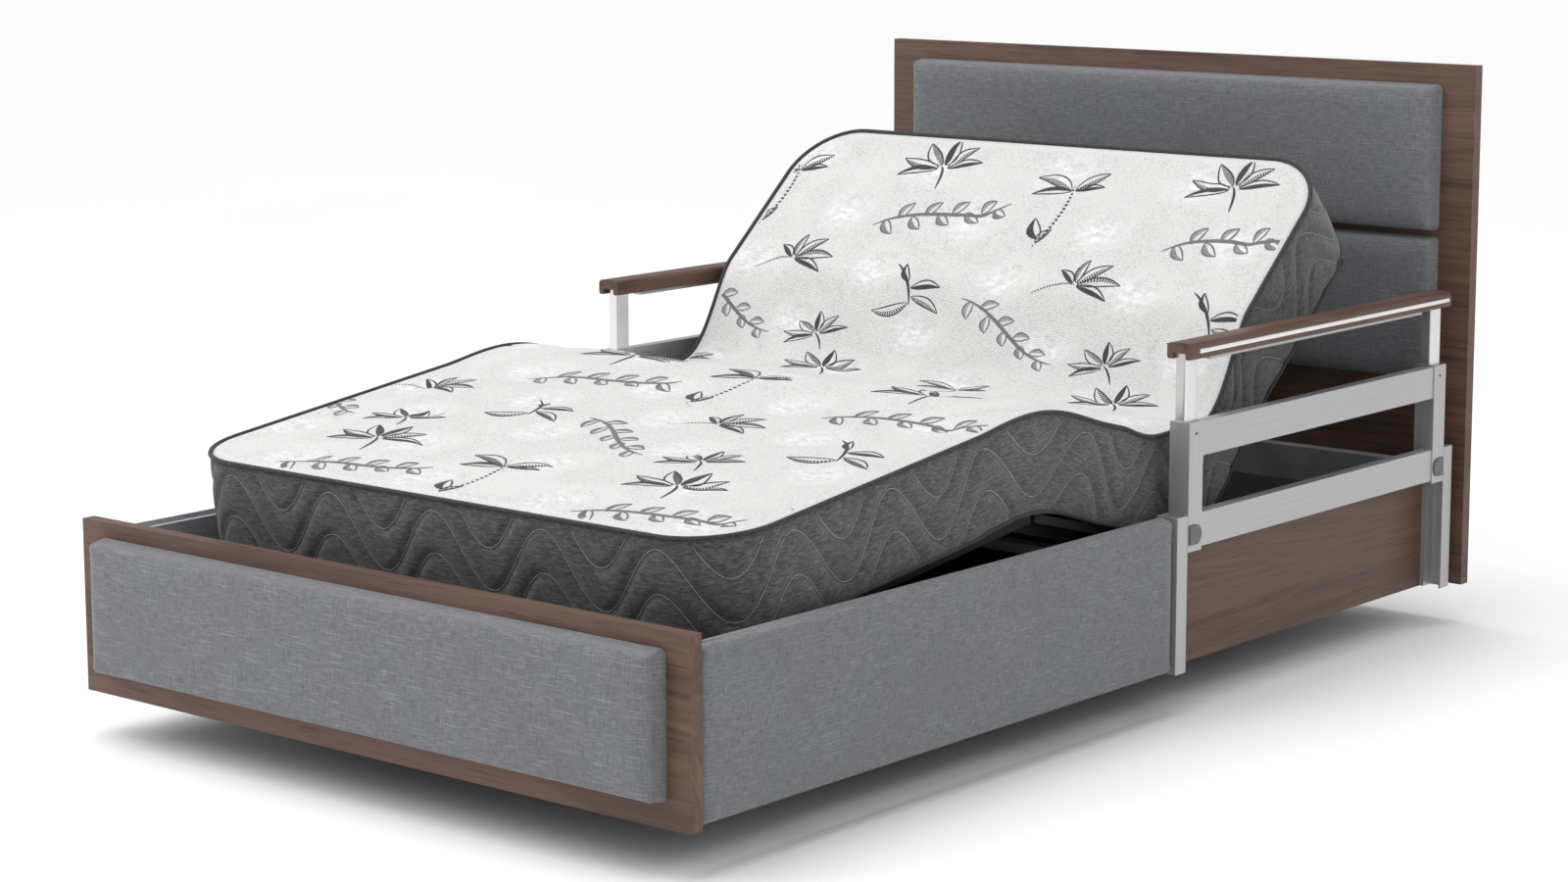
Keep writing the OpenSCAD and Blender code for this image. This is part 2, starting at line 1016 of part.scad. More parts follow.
module mattress_thigh() {
    color(ticking)
        pose_thigh()
            difference() {
                mattress_block(knee_y + 1, thigh_y);
                head_side(thigh_y - 2, axis_z, -thigh_max / 2);
                turn(thigh_y, axis_z, thigh_max)
                    head_side(wedge_y - 2, axis_z, 0);
            }
}

module mattress_leg() {
    color(ticking)
        pose_leg()
            mattress_block(leg_end_y, knee_y - 1);
}

base_side_rails();
base_cross_tubes();
base_pivot_brackets();
levelling_feet();
lift_motor();
lift_motor_rod();
head_lift_arms();
head_torque_tube();
lift_crank();
foot_lift_arms();
foot_cross_tube();
deck_side_rails();
deck_cross_tubes();
deck_pivot_brackets();
deck_liners();
seat_panel();
seat_hinge_plates();
headboard();
headboard_pad_upper();
headboard_pad_lower();
footboard();
footboard_pad();
side_boards();
side_pad_left();
side_pad_right();
recessed_side_panels();
rail_fixed_posts();
panel_brackets();
control_box();
back_motor();
knee_motor();
back_motor_rod();
knee_motor_rod();
mattress_seat();
back_frame();
back_panel();
back_lever();
mattress_back();
thigh_frame();
thigh_panel();
thigh_lever();
mattress_thigh();
leg_frame();
leg_panel();
leg_glide_bar();
mattress_leg();
ladder_posts_left();
ladder_bars_left();
top_posts_left();
handle_left();
squeeze_bar_left();
button_front_left();
button_rear_left();
ladder_posts_right();
ladder_bars_right();
top_posts_right();
handle_right();
squeeze_bar_right();
button_front_right();
button_rear_right();
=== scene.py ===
"""Looks of the adjustable homecare bed: upholstery, quilted mattress, materials, studio and camera."""
import json
import math

import bpy
import numpy as np
from mathutils import Matrix, Vector


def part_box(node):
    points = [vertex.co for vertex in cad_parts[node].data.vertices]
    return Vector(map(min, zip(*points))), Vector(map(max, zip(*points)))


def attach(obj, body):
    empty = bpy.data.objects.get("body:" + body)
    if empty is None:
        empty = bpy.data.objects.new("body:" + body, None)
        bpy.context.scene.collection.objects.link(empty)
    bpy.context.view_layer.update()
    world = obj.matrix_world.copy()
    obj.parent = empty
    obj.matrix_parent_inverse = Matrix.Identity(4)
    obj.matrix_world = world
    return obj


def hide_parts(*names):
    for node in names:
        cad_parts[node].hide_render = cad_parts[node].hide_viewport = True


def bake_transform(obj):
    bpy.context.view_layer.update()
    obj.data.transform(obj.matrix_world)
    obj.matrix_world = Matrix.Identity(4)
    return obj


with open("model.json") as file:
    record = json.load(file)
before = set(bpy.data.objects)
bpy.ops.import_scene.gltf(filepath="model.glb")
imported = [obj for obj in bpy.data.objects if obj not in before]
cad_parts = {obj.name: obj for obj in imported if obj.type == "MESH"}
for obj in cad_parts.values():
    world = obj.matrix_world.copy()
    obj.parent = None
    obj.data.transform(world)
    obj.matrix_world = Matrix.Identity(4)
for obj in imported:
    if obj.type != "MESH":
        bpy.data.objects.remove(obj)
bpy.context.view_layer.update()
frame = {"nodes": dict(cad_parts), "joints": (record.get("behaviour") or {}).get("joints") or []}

scene = bpy.context.scene
NODES = frame["nodes"]
JOINTS = {j["name"]: j for j in frame["joints"]}
SIDES = ((-1, "left"), (1, "right"))


# ---------------------------------------------------------------- camera and light

def aim(obj, position, yaw, pitch, roll):
    """Stands obj at position, facing +Y turned by yaw towards -X, tipped down by pitch, rolled; in degrees."""
    yaw, pitch, roll = (math.radians(v) for v in (yaw, pitch, roll))
    forward = Vector((-math.sin(yaw) * math.cos(pitch), math.cos(yaw) * math.cos(pitch), -math.sin(pitch)))
    level = Vector((math.cos(yaw), math.sin(yaw), 0))
    above = level.cross(forward)
    right = level * math.cos(roll) + above * math.sin(roll)
    up = above * math.cos(roll) - level * math.sin(roll)
    turn = Matrix((right, up, -forward)).transposed()
    obj.matrix_world = Matrix.Translation(position) @ turn.to_4x4()


camera_data = bpy.data.cameras.new("camera")
camera_data.sensor_width = 36
camera_data.lens = 80.32
camera_data.shift_y = -0.031
camera_data.clip_end = 300
camera = bpy.data.objects.new("camera", camera_data)
scene.collection.objects.link(camera)
aim(camera, (3.8949, -4.7121, 1.499), 40.055, 9.165, -0.106)
scene.camera = camera

scene.view_settings.view_transform = "Standard"

world = bpy.data.worlds.new("studio")
scene.world = world
world.use_nodes = True
world.node_tree.nodes["Background"].inputs["Color"].default_value = (1, 1, 1, 1)
# The sky is as bright as the floor near the horizon, so that the two meet unseen, and dimmer above
sky = world.node_tree.nodes.new("ShaderNodeTexCoord")
height = world.node_tree.nodes.new("ShaderNodeSeparateXYZ")
fade = world.node_tree.nodes.new("ShaderNodeMapRange")
for socket, value in (("From Min", 0.11), ("From Max", 0.26), ("To Min", 1.0), ("To Max", 0.47)):
    fade.inputs[socket].default_value = value
world.node_tree.links.new(sky.outputs["Generated"], height.inputs[0])
world.node_tree.links.new(height.outputs["Z"], fade.inputs["Value"])
world.node_tree.links.new(fade.outputs[0], world.node_tree.nodes["Background"].inputs["Strength"])


def sun(name, direction, strength, spread):
    data = bpy.data.lights.new(name, "SUN")
    data.energy = strength
    data.angle = math.radians(spread)
    obj = bpy.data.objects.new(name, data)
    obj.rotation_euler = Vector(direction).to_track_quat("-Z", "Y").to_euler()
    scene.collection.objects.link(obj)


def softbox(name, toward, distance, size, irradiance):
    """A square area light, distance away in direction toward, that gives irradiance at the bed's middle."""
    data = bpy.data.lights.new(name, "AREA")
    data.size = size
    data.energy = irradiance * math.pi * distance**2
    obj = bpy.data.objects.new(name, data)
    toward = Vector(toward).normalized()
    obj.location = toward * distance + Vector((0, 0, 0.4))
    obj.rotation_euler = toward.to_track_quat("Z", "Y").to_euler()
    scene.collection.objects.link(obj)


sun("top", (0.14, 0.05, -1.0), 1.84, 52)
softbox("key", (-0.55, -0.65, 0.55), 5.0, 3.6, 1.15)
softbox("side", (0.8, -0.1, 0.6), 5.5, 4.0, 0.5)


# ---------------------------------------------------------------- materials

def start_material(name, **sockets):
    """A new material with shader sockets set; returns it, a function that adds nodes and one that links."""
    material = bpy.data.materials.new(name)
    material.use_nodes = True
    tree = material.node_tree
    shader = tree.nodes["Principled BSDF"]
    for key, value in sockets.items():
        shader.inputs[key.replace("_", " ")].default_value = value

    def add(kind, settings=None, **inputs):
        node = tree.nodes.new("ShaderNode" + kind)
        for key, value in (settings or {}).items():
            setattr(node, key, value)
        for key, value in inputs.items():
            by_number = key[0] == "i" and key[1:].isdigit()
            socket = node.inputs[int(key[1:]) if by_number else key.replace("_", " ")]
            if isinstance(value, bpy.types.NodeSocket):
                tree.links.new(value, socket)
            else:
                socket.default_value = value
        return node

    def put(name_of_input, socket):
        tree.links.new(socket, shader.inputs[name_of_input])

    return material, add, put


def object_coords(add, scale=(1, 1, 1)):
    place = add("TexCoord").outputs["Object"]
    return add("Mapping", i0=place, Scale=scale).outputs[0]


def ramp(add, factor, *stops):
    """A colour ramp: stops are (position, (r, g, b))."""
    node = add("ValToRGB", i0=factor)
    elements = node.color_ramp.elements
    while len(elements) < len(stops):
        elements.new(0.5)
    for element, (position, colour) in zip(elements, stops):
        element.position = position
        element.color = (*colour, 1)
    return node.outputs[0]


def grey(v):
    return (v, v, v)


def tint(tone, *colour):
    return tuple(tone * v for v in colour)


def noise(add, coords, scale, detail=4.0, rough=0.55, distortion=0.0):
    node = add("TexNoise", Vector=coords, Scale=scale, Detail=detail, Roughness=rough, Distortion=distortion)
    return node.outputs[0]


def maths(add, operation, a, b=0.0):
    return add("Math", {"operation": operation}, i0=a, i1=b).outputs[0]


def mix(add, factor, a, b):
    """Colour socket a mixed with the plain colour b."""
    return add("Mix", {"data_type": "RGBA"}, i0=factor, i6=a, i7=(*b, 1)).outputs[2]


def bump(add, put, height, strength, distance):
    put("Normal", add("Bump", Strength=strength, Distance=distance, Height=height).outputs[0])


def span(add, value, low, high, to_low, to_high):
    return add("MapRange", Value=value, From_Min=low, From_Max=high, To_Min=to_low, To_Max=to_high).outputs[0]


def walnut(name, along):
    """Satin walnut laminate whose grain runs along axis 0 (X), 1 (Y) or 2 (Z)."""
    material, add, put = start_material(name, Specular_IOR_Level=0.3)
    broad, fine, pores = [6.0] * 3, [120.0] * 3, [260.0] * 3
    broad[along], fine[along], pores[along] = 0.55, 2.2, 9.0
    figure = noise(add, object_coords(add, broad), 1.0, 5, 0.62, 1.1)
    rings = maths(add, "SINE", maths(add, "MULTIPLY", figure, 46.0))
    streaks = noise(add, object_coords(add, fine), 1.0, 4, 0.6)
    specks = noise(add, object_coords(add, pores), 1.0, 2, 0.5)
    dark, middle, light = (0.058, 0.031, 0.022), (0.11, 0.06, 0.042), (0.155, 0.089, 0.063)
    colour = ramp(add, figure, (0.3, dark), (0.5, middle), (0.7, light))
    colour = mix(add, span(add, rings, -0.2, 1, 0.0, 0.4), colour, (0.036, 0.02, 0.015))
    colour = mix(add, span(add, streaks, 0.38, 0.68, 0.0, 0.5), colour, (0.16, 0.1, 0.075))
    colour = mix(add, span(add, specks, 0.6, 0.72, 0.0, 0.55), colour, (0.022, 0.014, 0.011))
    put("Base Color", colour)
    put("Roughness", span(add, streaks, 0.3, 0.7, 0.42, 0.58))
    bump(add, put, maths(add, "ADD", streaks, maths(add, "MULTIPLY", specks, -0.8)), 0.22, 0.0006)
    return material


def linen(name, across, tone=1.0, slubs=1.0):
    """Grey melange upholstery, warp upright and weft along axis across (0 or 1), wrapped round the edges."""
    material, add, put = start_material(
        name, Roughness=0.92, Specular_IOR_Level=0.15, Sheen_Weight=0.22, Sheen_Roughness=0.45,
    )
    place = add("SeparateXYZ", i0=add("TexCoord").outputs["Object"]).outputs
    normal = add("SeparateXYZ", i0=add("TexCoord").outputs["Normal"]).outputs

    def wrapped(axis):
        facing = maths(add, "GREATER_THAN", maths(add, "ABSOLUTE", normal[axis]), 0.72)
        return maths(add, "ADD", place[axis], maths(add, "MULTIPLY", place[1 - across], facing))

    level, rise = wrapped(across), wrapped(2)

    def yarns(u_scale, v_scale, detail=3.0):
        u, v = maths(add, "MULTIPLY", level, u_scale), maths(add, "MULTIPLY", rise, v_scale)
        return noise(add, add("CombineXYZ", i0=u, i1=v).outputs[0], 1.0, detail, 0.55)

    weft = yarns(52.0, 560.0)
    warp = yarns(560.0, 60.0)
    slub = yarns(16.0, 330.0, 2.0)
    lift = yarns(330.0, 20.0, 2.0)
    drift = yarns(5.0, 9.0, 3.0)
    blush = yarns(7.0, 4.0, 2.0)
    cross = maths(add, "ADD", maths(add, "MULTIPLY", weft, 0.55), maths(add, "MULTIPLY", warp, 0.45))
    dark, middle, light = (0.1, 0.106, 0.117), (0.162, 0.167, 0.179), (0.232, 0.237, 0.249)
    colour = ramp(add, cross, (0.36, tint(tone, *dark)), (0.5, tint(tone, *middle)), (0.64, tint(tone, *light)))
    colour = mix(add, span(add, slub, 0.56, 0.7, 0.0, 0.46 * slubs), colour, tint(tone, 0.29, 0.294, 0.303))
    colour = mix(add, span(add, lift, 0.57, 0.72, 0.0, 0.4 * slubs), colour, tint(tone, 0.085, 0.09, 0.1))
    colour = mix(add, span(add, drift, 0.35, 0.7, 0.0, 0.3), colour, tint(tone, 0.15, 0.136, 0.152))
    colour = mix(add, span(add, blush, 0.4, 0.7, 0.0, 0.25), colour, tint(tone, 0.132, 0.158, 0.172))
    put("Base Color", colour)
    bump(add, put, maths(add, "ADD", cross, maths(add, "MULTIPLY", slub, 0.5)), 0.6, 0.0008)
    return material


def flat_coords(add, scale=(1, 1, 1)):
    place = add("Attribute", {"attribute_name": "flat"}).outputs["Vector"]
    return add("Mapping", i0=place, Scale=scale).outputs[0]


def knit():
    """White double-knit ticking: fine chevron ribs, small stitch holes, puckers, and a painted highlight round the
    tufts.
    """
    material, add, put = start_material(
        "knit_ticking", Roughness=0.85, Specular_IOR_Level=0.2, Sheen_Weight=0.3, Sheen_Roughness=0.4,
    )
    place = add("SeparateXYZ", i0=add("Attribute", {"attribute_name": "flat"}).outputs["Vector"]).outputs
    zigzag = maths(add, "PINGPONG", maths(add, "MULTIPLY", place[0], 95.0), 1.0)
    wander = noise(add, flat_coords(add), 26.0, 2, 0.5)
    phase = maths(add, "ADD", maths(add, "MULTIPLY", place[1], 1050.0), maths(add, "MULTIPLY", zigzag, 5.0))
    ribs = maths(add, "SINE", maths(add, "ADD", phase, maths(add, "MULTIPLY", wander, 5.0)))
    cells = flat_coords(add, (240, 270, 240))
    stitches = add("TexVoronoi", {"feature": "F1"}, Vector=cells, Scale=1.0, Randomness=0.5).outputs[0]
    cloud = noise(add, flat_coords(add), 5.0, 3, 0.5)
    pucker = noise(add, flat_coords(add, (18, 14, 14)), 1.0, 3, 0.5, 1.2)
    face, valley, hole = (0.69, 0.69, 0.68), (0.605, 0.605, 0.595), (0.44, 0.44, 0.435)
    colour = ramp(add, stitches, (0.2, face), (0.62, valley), (0.85, hole))
    colour = mix(add, span(add, ribs, 0.2, 1.0, 0.0, 0.2), colour, (0.5, 0.5, 0.495))
    colour = mix(add, span(add, cloud, 0.35, 0.65, 0.0, 0.12), colour, (0.6, 0.6, 0.595))
    # Painted highlight: near the tufts the knit's colour is lightened towards pale grey, broken into noisy patches
    highlight_breakup = noise(add, flat_coords(add, (55, 75, 55)), 1.0, 3, 0.6)
    near_tuft = add("Attribute", {"attribute_name": "tuft"}).outputs["Fac"]
    painted_tuft_highlight = maths(add, "MULTIPLY", near_tuft, span(add, highlight_breakup, 0.42, 0.6, 0.0, 1.0))
    colour = mix(add, maths(add, "MULTIPLY", painted_tuft_highlight, 0.7), colour, grey(0.86))
    put("Base Color", colour)
    height = maths(add, "ADD", maths(add, "MULTIPLY", ribs, -0.5), maths(add, "MULTIPLY", pucker, 2.6))
    bump(add, put, maths(add, "SUBTRACT", height, stitches), 0.5, 0.0011)
    return material


def heather():
    """Charcoal melange knit of the mattress border."""
    material, add, put = start_material(
        "charcoal_border", Roughness=0.93, Specular_IOR_Level=0.15, Sheen_Weight=0.25, Sheen_Roughness=0.5,
    )
    streaks = noise(add, flat_coords(add, (75, 75, 380)), 1.0, 4, 0.65)
    mottle = noise(add, flat_coords(add, (190, 190, 260)), 1.0, 2, 0.5)
    cloud = noise(add, flat_coords(add), 14.0, 3, 0.55)
    dark, middle, light = (0.044, 0.044, 0.045), (0.088, 0.088, 0.089), (0.165, 0.165, 0.167)
    colour = ramp(add, streaks, (0.33, dark), (0.5, middle), (0.68, light))
    colour = mix(add, span(add, mottle, 0.55, 0.75, 0.0, 0.55), colour, (0.15, 0.15, 0.152))
    colour = mix(add, span(add, cloud, 0.35, 0.7, 0.0, 0.25), colour, (0.035, 0.035, 0.036))
    put("Base Color", colour)
    bump(add, put, maths(add, "ADD", streaks, mottle), 0.55, 0.0012)
    return material


def yarn_material(name, dark, light):
    """Twisted yarn or printed ink: two tones in fine mottling."""
    material, add, put = start_material(name, Roughness=0.8, Specular_IOR_Level=0.2, Sheen_Weight=0.1)
    mottle = noise(add, flat_coords(add), 420.0, 2, 0.5)
    put("Base Color", ramp(add, mottle, (0.35, grey(dark)), (0.65, grey(light))))
    bump(add, put, mottle, 0.4, 0.0006)
    return material


def aluminium(name, along, tone=0.43, metal=0.55, rough=(0.3, 0.4)):
    """Satin anodised extrusion with a faint draw line along its length."""
    material, add, put = start_material(name, Metallic=metal, Specular_IOR_Level=0.5)
    drawn = [340.0] * 3
    drawn[along] = 3.0
    lines = noise(add, object_coords(add, drawn), 1.0, 3, 0.55)
    cloud = noise(add, object_coords(add), 9.0, 3, 0.5)
    colour = ramp(add, lines, (0.3, tint(tone, *grey(0.93))), (0.7, tint(tone, 1.06, 1.06, 1.05)))
    colour = mix(add, span(add, cloud, 0.35, 0.7, 0.0, 0.1), colour, tint(tone, 0.86, 0.86, 0.87))
    put("Base Color", colour)
    put("Roughness", span(add, lines, 0.3, 0.7, *rough))
    bump(add, put, lines, 0.08, 0.0003)
    return material


def coated(name, dark, light, rough=(0.42, 0.6), grain=900.0, metallic=0.0, strength=0.25):
    """Powder coat, moulded plastic or rubber: fine orange-peel with slightly uneven gloss."""
    material, add, put = start_material(name, Metallic=metallic, Specular_IOR_Level=0.4)
    peel = noise(add, object_coords(add), grain, 2, 0.5)
    cloud = noise(add, object_coords(add), 12.0, 4, 0.6)
    put("Base Color", ramp(add, cloud, (0.35, dark), (0.68, light)))
    put("Roughness", span(add, cloud, 0.3, 0.7, *rough))
    bump(add, put, peel, strength, 0.0004)
    return material


def board_material():
    """Black-stained deck board with a fine wood texture under the paint."""
    material, add, put = start_material("black_board", Specular_IOR_Level=0.3)
    grain = noise(add, object_coords(add, (14, 160, 160)), 1.0, 4, 0.6)
    put("Base Color", ramp(add, grain, (0.35, (0.006, 0.006, 0.0065)), (0.7, (0.017, 0.017, 0.018))))
    put("Roughness", span(add, grain, 0.3, 0.7, 0.55, 0.75))
    bump(add, put, grain, 0.3, 0.0005)
    return material


WALNUT_X = walnut("walnut_across", 0)
WALNUT_Y = walnut("walnut_lengthwise", 1)
LINEN = linen("linen_melange", 0)
LINEN_SIDE = linen("linen_melange_side", 1)
LINEN_FOOT = linen("linen_melange_foot", 0, 0.98, 1.7)
# A copy of the linen 2.4 times brighter: painted light on the side boards' inner faces and the pads' mounting
# faces, which lie in the mattress's shade
LINEN_PAINTED_LIGHT = linen("linen_lining", 1, 2.4)
KNIT = knit()
HEATHER = heather()
PIPING = yarn_material("piping_cord", 0.022, 0.06)
THREAD = yarn_material("quilting_thread", 0.2, 0.4)
INK = yarn_material("print_charcoal", 0.028, 0.06)
INK_SOFT = yarn_material("print_grey", 0.11, 0.19)
ALU = {axis: aluminium("aluminium_" + "xyz"[axis], axis) for axis in (0, 1, 2)}
ALU_BRIGHT = aluminium("aluminium_inlay", 1, 0.8)
# A brighter, glossier copy of the aluminium for the rounded top posts: the higher metal and lower roughness are
# real gloss, the lighter tone is a painted highlight
ALU_POST_PAINTED_HIGHLIGHT = aluminium("aluminium_post", 2, 0.72, 0.75, (0.2, 0.28))
BLACK_COAT = coated("black_powder_coat", (0.012, 0.012, 0.013), (0.024, 0.024, 0.026))
GREY_COAT = coated("grey_powder_coat", (0.055, 0.057, 0.06), (0.09, 0.092, 0.097))
FRAME_GREY = coated("frame_grey_coat", (0.175, 0.178, 0.183), (0.235, 0.238, 0.245))
BUTTON = coated("button_plastic", (0.1, 0.104, 0.11), (0.15, 0.155, 0.163), (0.5, 0.62), 1300.0)
MOTOR = coated("motor_plastic", (0.024, 0.024, 0.026), (0.042, 0.042, 0.045), (0.45, 0.6), 1100.0)
RUBBER = coated("rubber", (0.012, 0.012, 0.012), (0.022, 0.022, 0.022), (0.7, 0.85), 500.0)
PLATED = coated("plated_rod", (0.45, 0.45, 0.46), (0.6, 0.6, 0.61), (0.22, 0.34), 1500.0, 0.9, 0.08)
SCREW = coated("screw_black", (0.015, 0.015, 0.016), (0.03, 0.03, 0.031), (0.35, 0.5))
UNDERSIDE = coated("underside_cloth", (0.02, 0.02, 0.021), (0.035, 0.035, 0.037), (0.85, 0.95), 400.0)
BOARD = board_material()

DRESS = {
    # The side boards' inner faces get the brightened linen: painted light where the mattress shades them
    "headboard": WALNUT_X, "footboard": WALNUT_X, "side_boards": LINEN_PAINTED_LIGHT, "recessed_side_panels": WALNUT_Y,
    "rail_fixed_posts": ALU[2], "deck_cross_tubes": FRAME_GREY,
    "back_panel": BOARD, "thigh_panel": BOARD, "leg_panel": BOARD, "seat_panel": BOARD,
}
for _, side in SIDES:
    DRESS.update({
        "handle_" + side: WALNUT_Y, "ladder_posts_" + side: ALU[2], "ladder_bars_" + side: ALU[1],
        # The top posts get the aluminium whose lighter tone is a painted highlight
        "top_posts_" + side: ALU_POST_PAINTED_HIGHLIGHT, "squeeze_bar_" + side: ALU[1],
    })
SLOT_MATERIALS = {
    "steel_frame": BLACK_COAT, "steel_bracket": GREY_COAT, "rubber": RUBBER, "plated_rod": PLATED,
    "motor_plastic": MOTOR, "button_plastic": BUTTON, "aluminium": ALU[1], "walnut": WALNUT_Y,
    "linen": LINEN, "ticking": HEATHER, "black_board": BOARD,
}
for name, node in NODES.items():
    old = [slot.material.name.split(".")[0] if slot.material else "" for slot in node.material_slots]
    fallback = next((SLOT_MATERIALS[s] for s in SLOT_MATERIALS if any(s in o for o in old)), GREY_COAT)
    node.data.materials.clear()
    node.data.materials.append(DRESS.get(name, fallback))


def soften(name, width):
    """Rounds a CAD piece's sharp edges so that they catch the light."""
    modifier = NODES[name].modifiers.new("edge", "BEVEL")
    modifier.width = width
    modifier.segments = 2
    modifier.limit_method = "ANGLE"
    modifier.angle_limit = math.radians(50)
    modifier.harden_normals = False


for name in ("headboard", "footboard", "side_boards", "recessed_side_panels"):
    soften(name, 0.0012)
for name in DRESS:
    if DRESS[name] in (*ALU.values(), ALU_POST_PAINTED_HIGHLIGHT):
        soften(name, 0.0008)


# ---------------------------------------------------------------- mesh tools

def mesh_piece(name, vertices, faces, material, flat=None, smooth=True):
    mesh = bpy.data.meshes.new(name)
    mesh.from_pydata(np.asarray(vertices, float).tolist(), [], [list(map(int, f)) for f in faces])
    mesh.materials.append(material)
    mesh.update()
    if smooth:
        mesh.shade_smooth()
    if flat is not None:
        layer = mesh.attributes.new("flat", "FLOAT_VECTOR", "POINT")
        layer.data.foreach_set("vector", np.asarray(flat, np.float32).ravel())
    obj = bpy.data.objects.new(name, mesh)
    scene.collection.objects.link(obj)
    return obj


def grid_faces(rows, columns, wrap=False):
    """Quads of a rows x columns grid of vertices, counted row by row."""
    faces = []
    for r in range(rows - 1):
        this, following = r * columns, (r + 1) * columns
        for c in range(columns if wrap else columns - 1):
            n = (c + 1) % columns
            faces.append((this + c, this + n, following + n, following + c))
    return faces


def smoothstep(t):
    t = np.clip(t, 0, 1)
    return t * t * (3 - 2 * t)


# ---------------------------------------------------------------- mattress, made flat and bent with the deck

def turned(points, pivot, angle):
    """Points turned about an X axis through pivot."""
    y, z = points[:, 1] - pivot[1], points[:, 2] - pivot[2]
    c, s = np.cos(angle), np.sin(angle)
    out = np.array(points, float)
    out[:, 1] = pivot[1] + y * c - z * s
    out[:, 2] = pivot[2] + y * s + z * c
    return out


def slope(node):
    """The angle about X of a deck board at rest, from its largest face."""
    normal = max(NODES[node].data.polygons, key=lambda p: p.area).normal.copy()
    if normal.z < 0:
        normal.negate()
    return math.atan2(-normal.y, normal.z)


BACK_PIVOT, THIGH_PIVOT, KNEE_PIVOT = (
    np.array(JOINTS[name]["pos_m"], float) for name in ("back_raise", "thigh_raise", "knee_bend")
)
BACK_SLOPE, THIGH_SLOPE, LEG_SLOPE = slope("back_panel"), slope("thigh_panel"), slope("leg_panel")
knee_dir = -(THIGH_SLOPE + LEG_SLOPE) / 2
KNEE_DIRECTION = np.array((0, -math.cos(knee_dir), math.sin(knee_dir)))

# The flat mattress's three pieces, leg, thigh and back, meet at these two places along Y
SEAT_LINE = (BACK_PIVOT[1] + THIGH_PIVOT[1]) / 2
LEG_LINE = THIGH_PIVOT[1] - 0.178

KNEE_SPAN = 0.36
HALF_KNEE = KNEE_DIRECTION * KNEE_SPAN / 2


def from_seat(distance):
    """A point at the deck's height, that far from the seat line towards the head end."""
    return np.array((0, SEAT_LINE + distance, 0.3))


# Each bend: the body that stays, the body that turns, its pivot, its angle at rest, the bend's start and its end
ZONES = {
    "back": ("deck", "back", BACK_PIVOT, BACK_SLOPE, from_seat(-0.003), from_seat(0.207)),
    "thigh": ("deck", "thigh", THIGH_PIVOT, THIGH_SLOPE, from_seat(-0.007), from_seat(-0.177)),
    "leg": ("thigh", "leg", KNEE_PIVOT, LEG_SLOPE - THIGH_SLOPE, KNEE_PIVOT - HALF_KNEE, KNEE_PIVOT + HALF_KNEE),
}
ZONE_NAMES = ("leg", "thigh", "back")


def flat_of(node):
    """A mattress solid's corners laid flat: (lowest, highest)."""
    points = np.array([v.co for v in NODES[node].data.vertices], float)
    if node == "mattress_back":
        points = turned(points, BACK_PIVOT, -BACK_SLOPE)
    else:
        points = turned(turned(points, KNEE_PIVOT, THIGH_SLOPE - LEG_SLOPE), THIGH_PIVOT, -THIGH_SLOPE)
    return points.min(0), points.max(0)


# The flat outline, with a corner radius and with room for the border's bulge at both ends
CORNER = 0.125
END_ROOM = 0.003
leg_low, leg_high = flat_of("mattress_leg")
back_high = flat_of("mattress_back")[1]
HALF_WIDTH = leg_high[0]
FOOT_END, HEAD_END = leg_low[1] + END_ROOM, back_high[1] - END_ROOM
MIDDLE_Y, HALF_LENGTH = (FOOT_END + HEAD_END) / 2, (HEAD_END - FOOT_END) / 2
BOTTOM, TOP = leg_low[2], leg_high[2]

# How far the flat mattress swells over the seat, and how far along it, so that the crease keeps its thickness
SEAT_SWELL, SWELL_REACH = 0.012, 0.13

# The ticking's shape, each a height and the width it spreads over
EDGE_DROP, EDGE_WIDTH = 0.006, 0.035
CROWN, CROWN_WIDTH = 0.005, 0.2
TUFT_PIT, PIT_WIDTH = 0.007, 0.022
TUFT_DISH, DISH_WIDTH = 0.004, 0.07
RIPPLE, RIPPLE_START = 0.0007, 0.09
TUFT_STEP = (0.3, 0.285)
BORDER_HEIGHT = TOP - EDGE_DROP - BOTTOM


def settle(points, zone):
    _, _, pivot, angle, start, end = ZONES[zone]
    points = np.array(points, float)
    y, z = points[:, 1], points[:, 2]
    points[:, 2] += SEAT_SWELL * np.exp(-(((y - SEAT_LINE) / SWELL_REACH) ** 2)) * (z - BOTTOM) / (TOP - BOTTOM)
    if zone == "leg":
        points = turned(points, THIGH_PIVOT, THIGH_SLOPE)
    along = end - start
    low, high = np.zeros(len(points)), np.ones(len(points))
    for _ in range(34):
        middle = (low + high) / 2
        reach = ((turned(points, pivot, middle * angle) - start) @ along) / (along @ along)
        beyond = smoothstep(reach) > middle
        low, high = np.where(beyond, middle, low), np.where(beyond, high, middle)
    return turned(points, pivot, (low + high) / 2 * angle)


def zone_of(y):
    """Which bending piece a flat place belongs to: 0 leg, 1 thigh, 2 back."""
    return np.where(y > SEAT_LINE, 2, np.where(y > LEG_LINE, 1, 0))


def bend_piece(obj):
    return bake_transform(obj)


def inset(x, y):
    """Distance from the mattress outline, positive inside."""
    qx, qy = np.abs(x) - (HALF_WIDTH - CORNER), np.abs(y - MIDDLE_Y) - (HALF_LENGTH - CORNER)
    return CORNER - np.hypot(np.maximum(qx, 0), np.maximum(qy, 0)) - np.minimum(np.maximum(qx, qy), 0)


def tuft_distance(x, y):
    """Distance to the nearest tuft of a staggered lattice."""
    best = np.full(np.shape(x), 9.0)
    for shift in (0.0, 0.5):
        dx = (x / TUFT_STEP[0] + shift + 0.25) % 1 - 0.5
        dy = (y / TUFT_STEP[1] + shift) % 1 - 0.5
        best = np.minimum(best, np.hypot(dx * TUFT_STEP[0], dy * TUFT_STEP[1]))
    return best


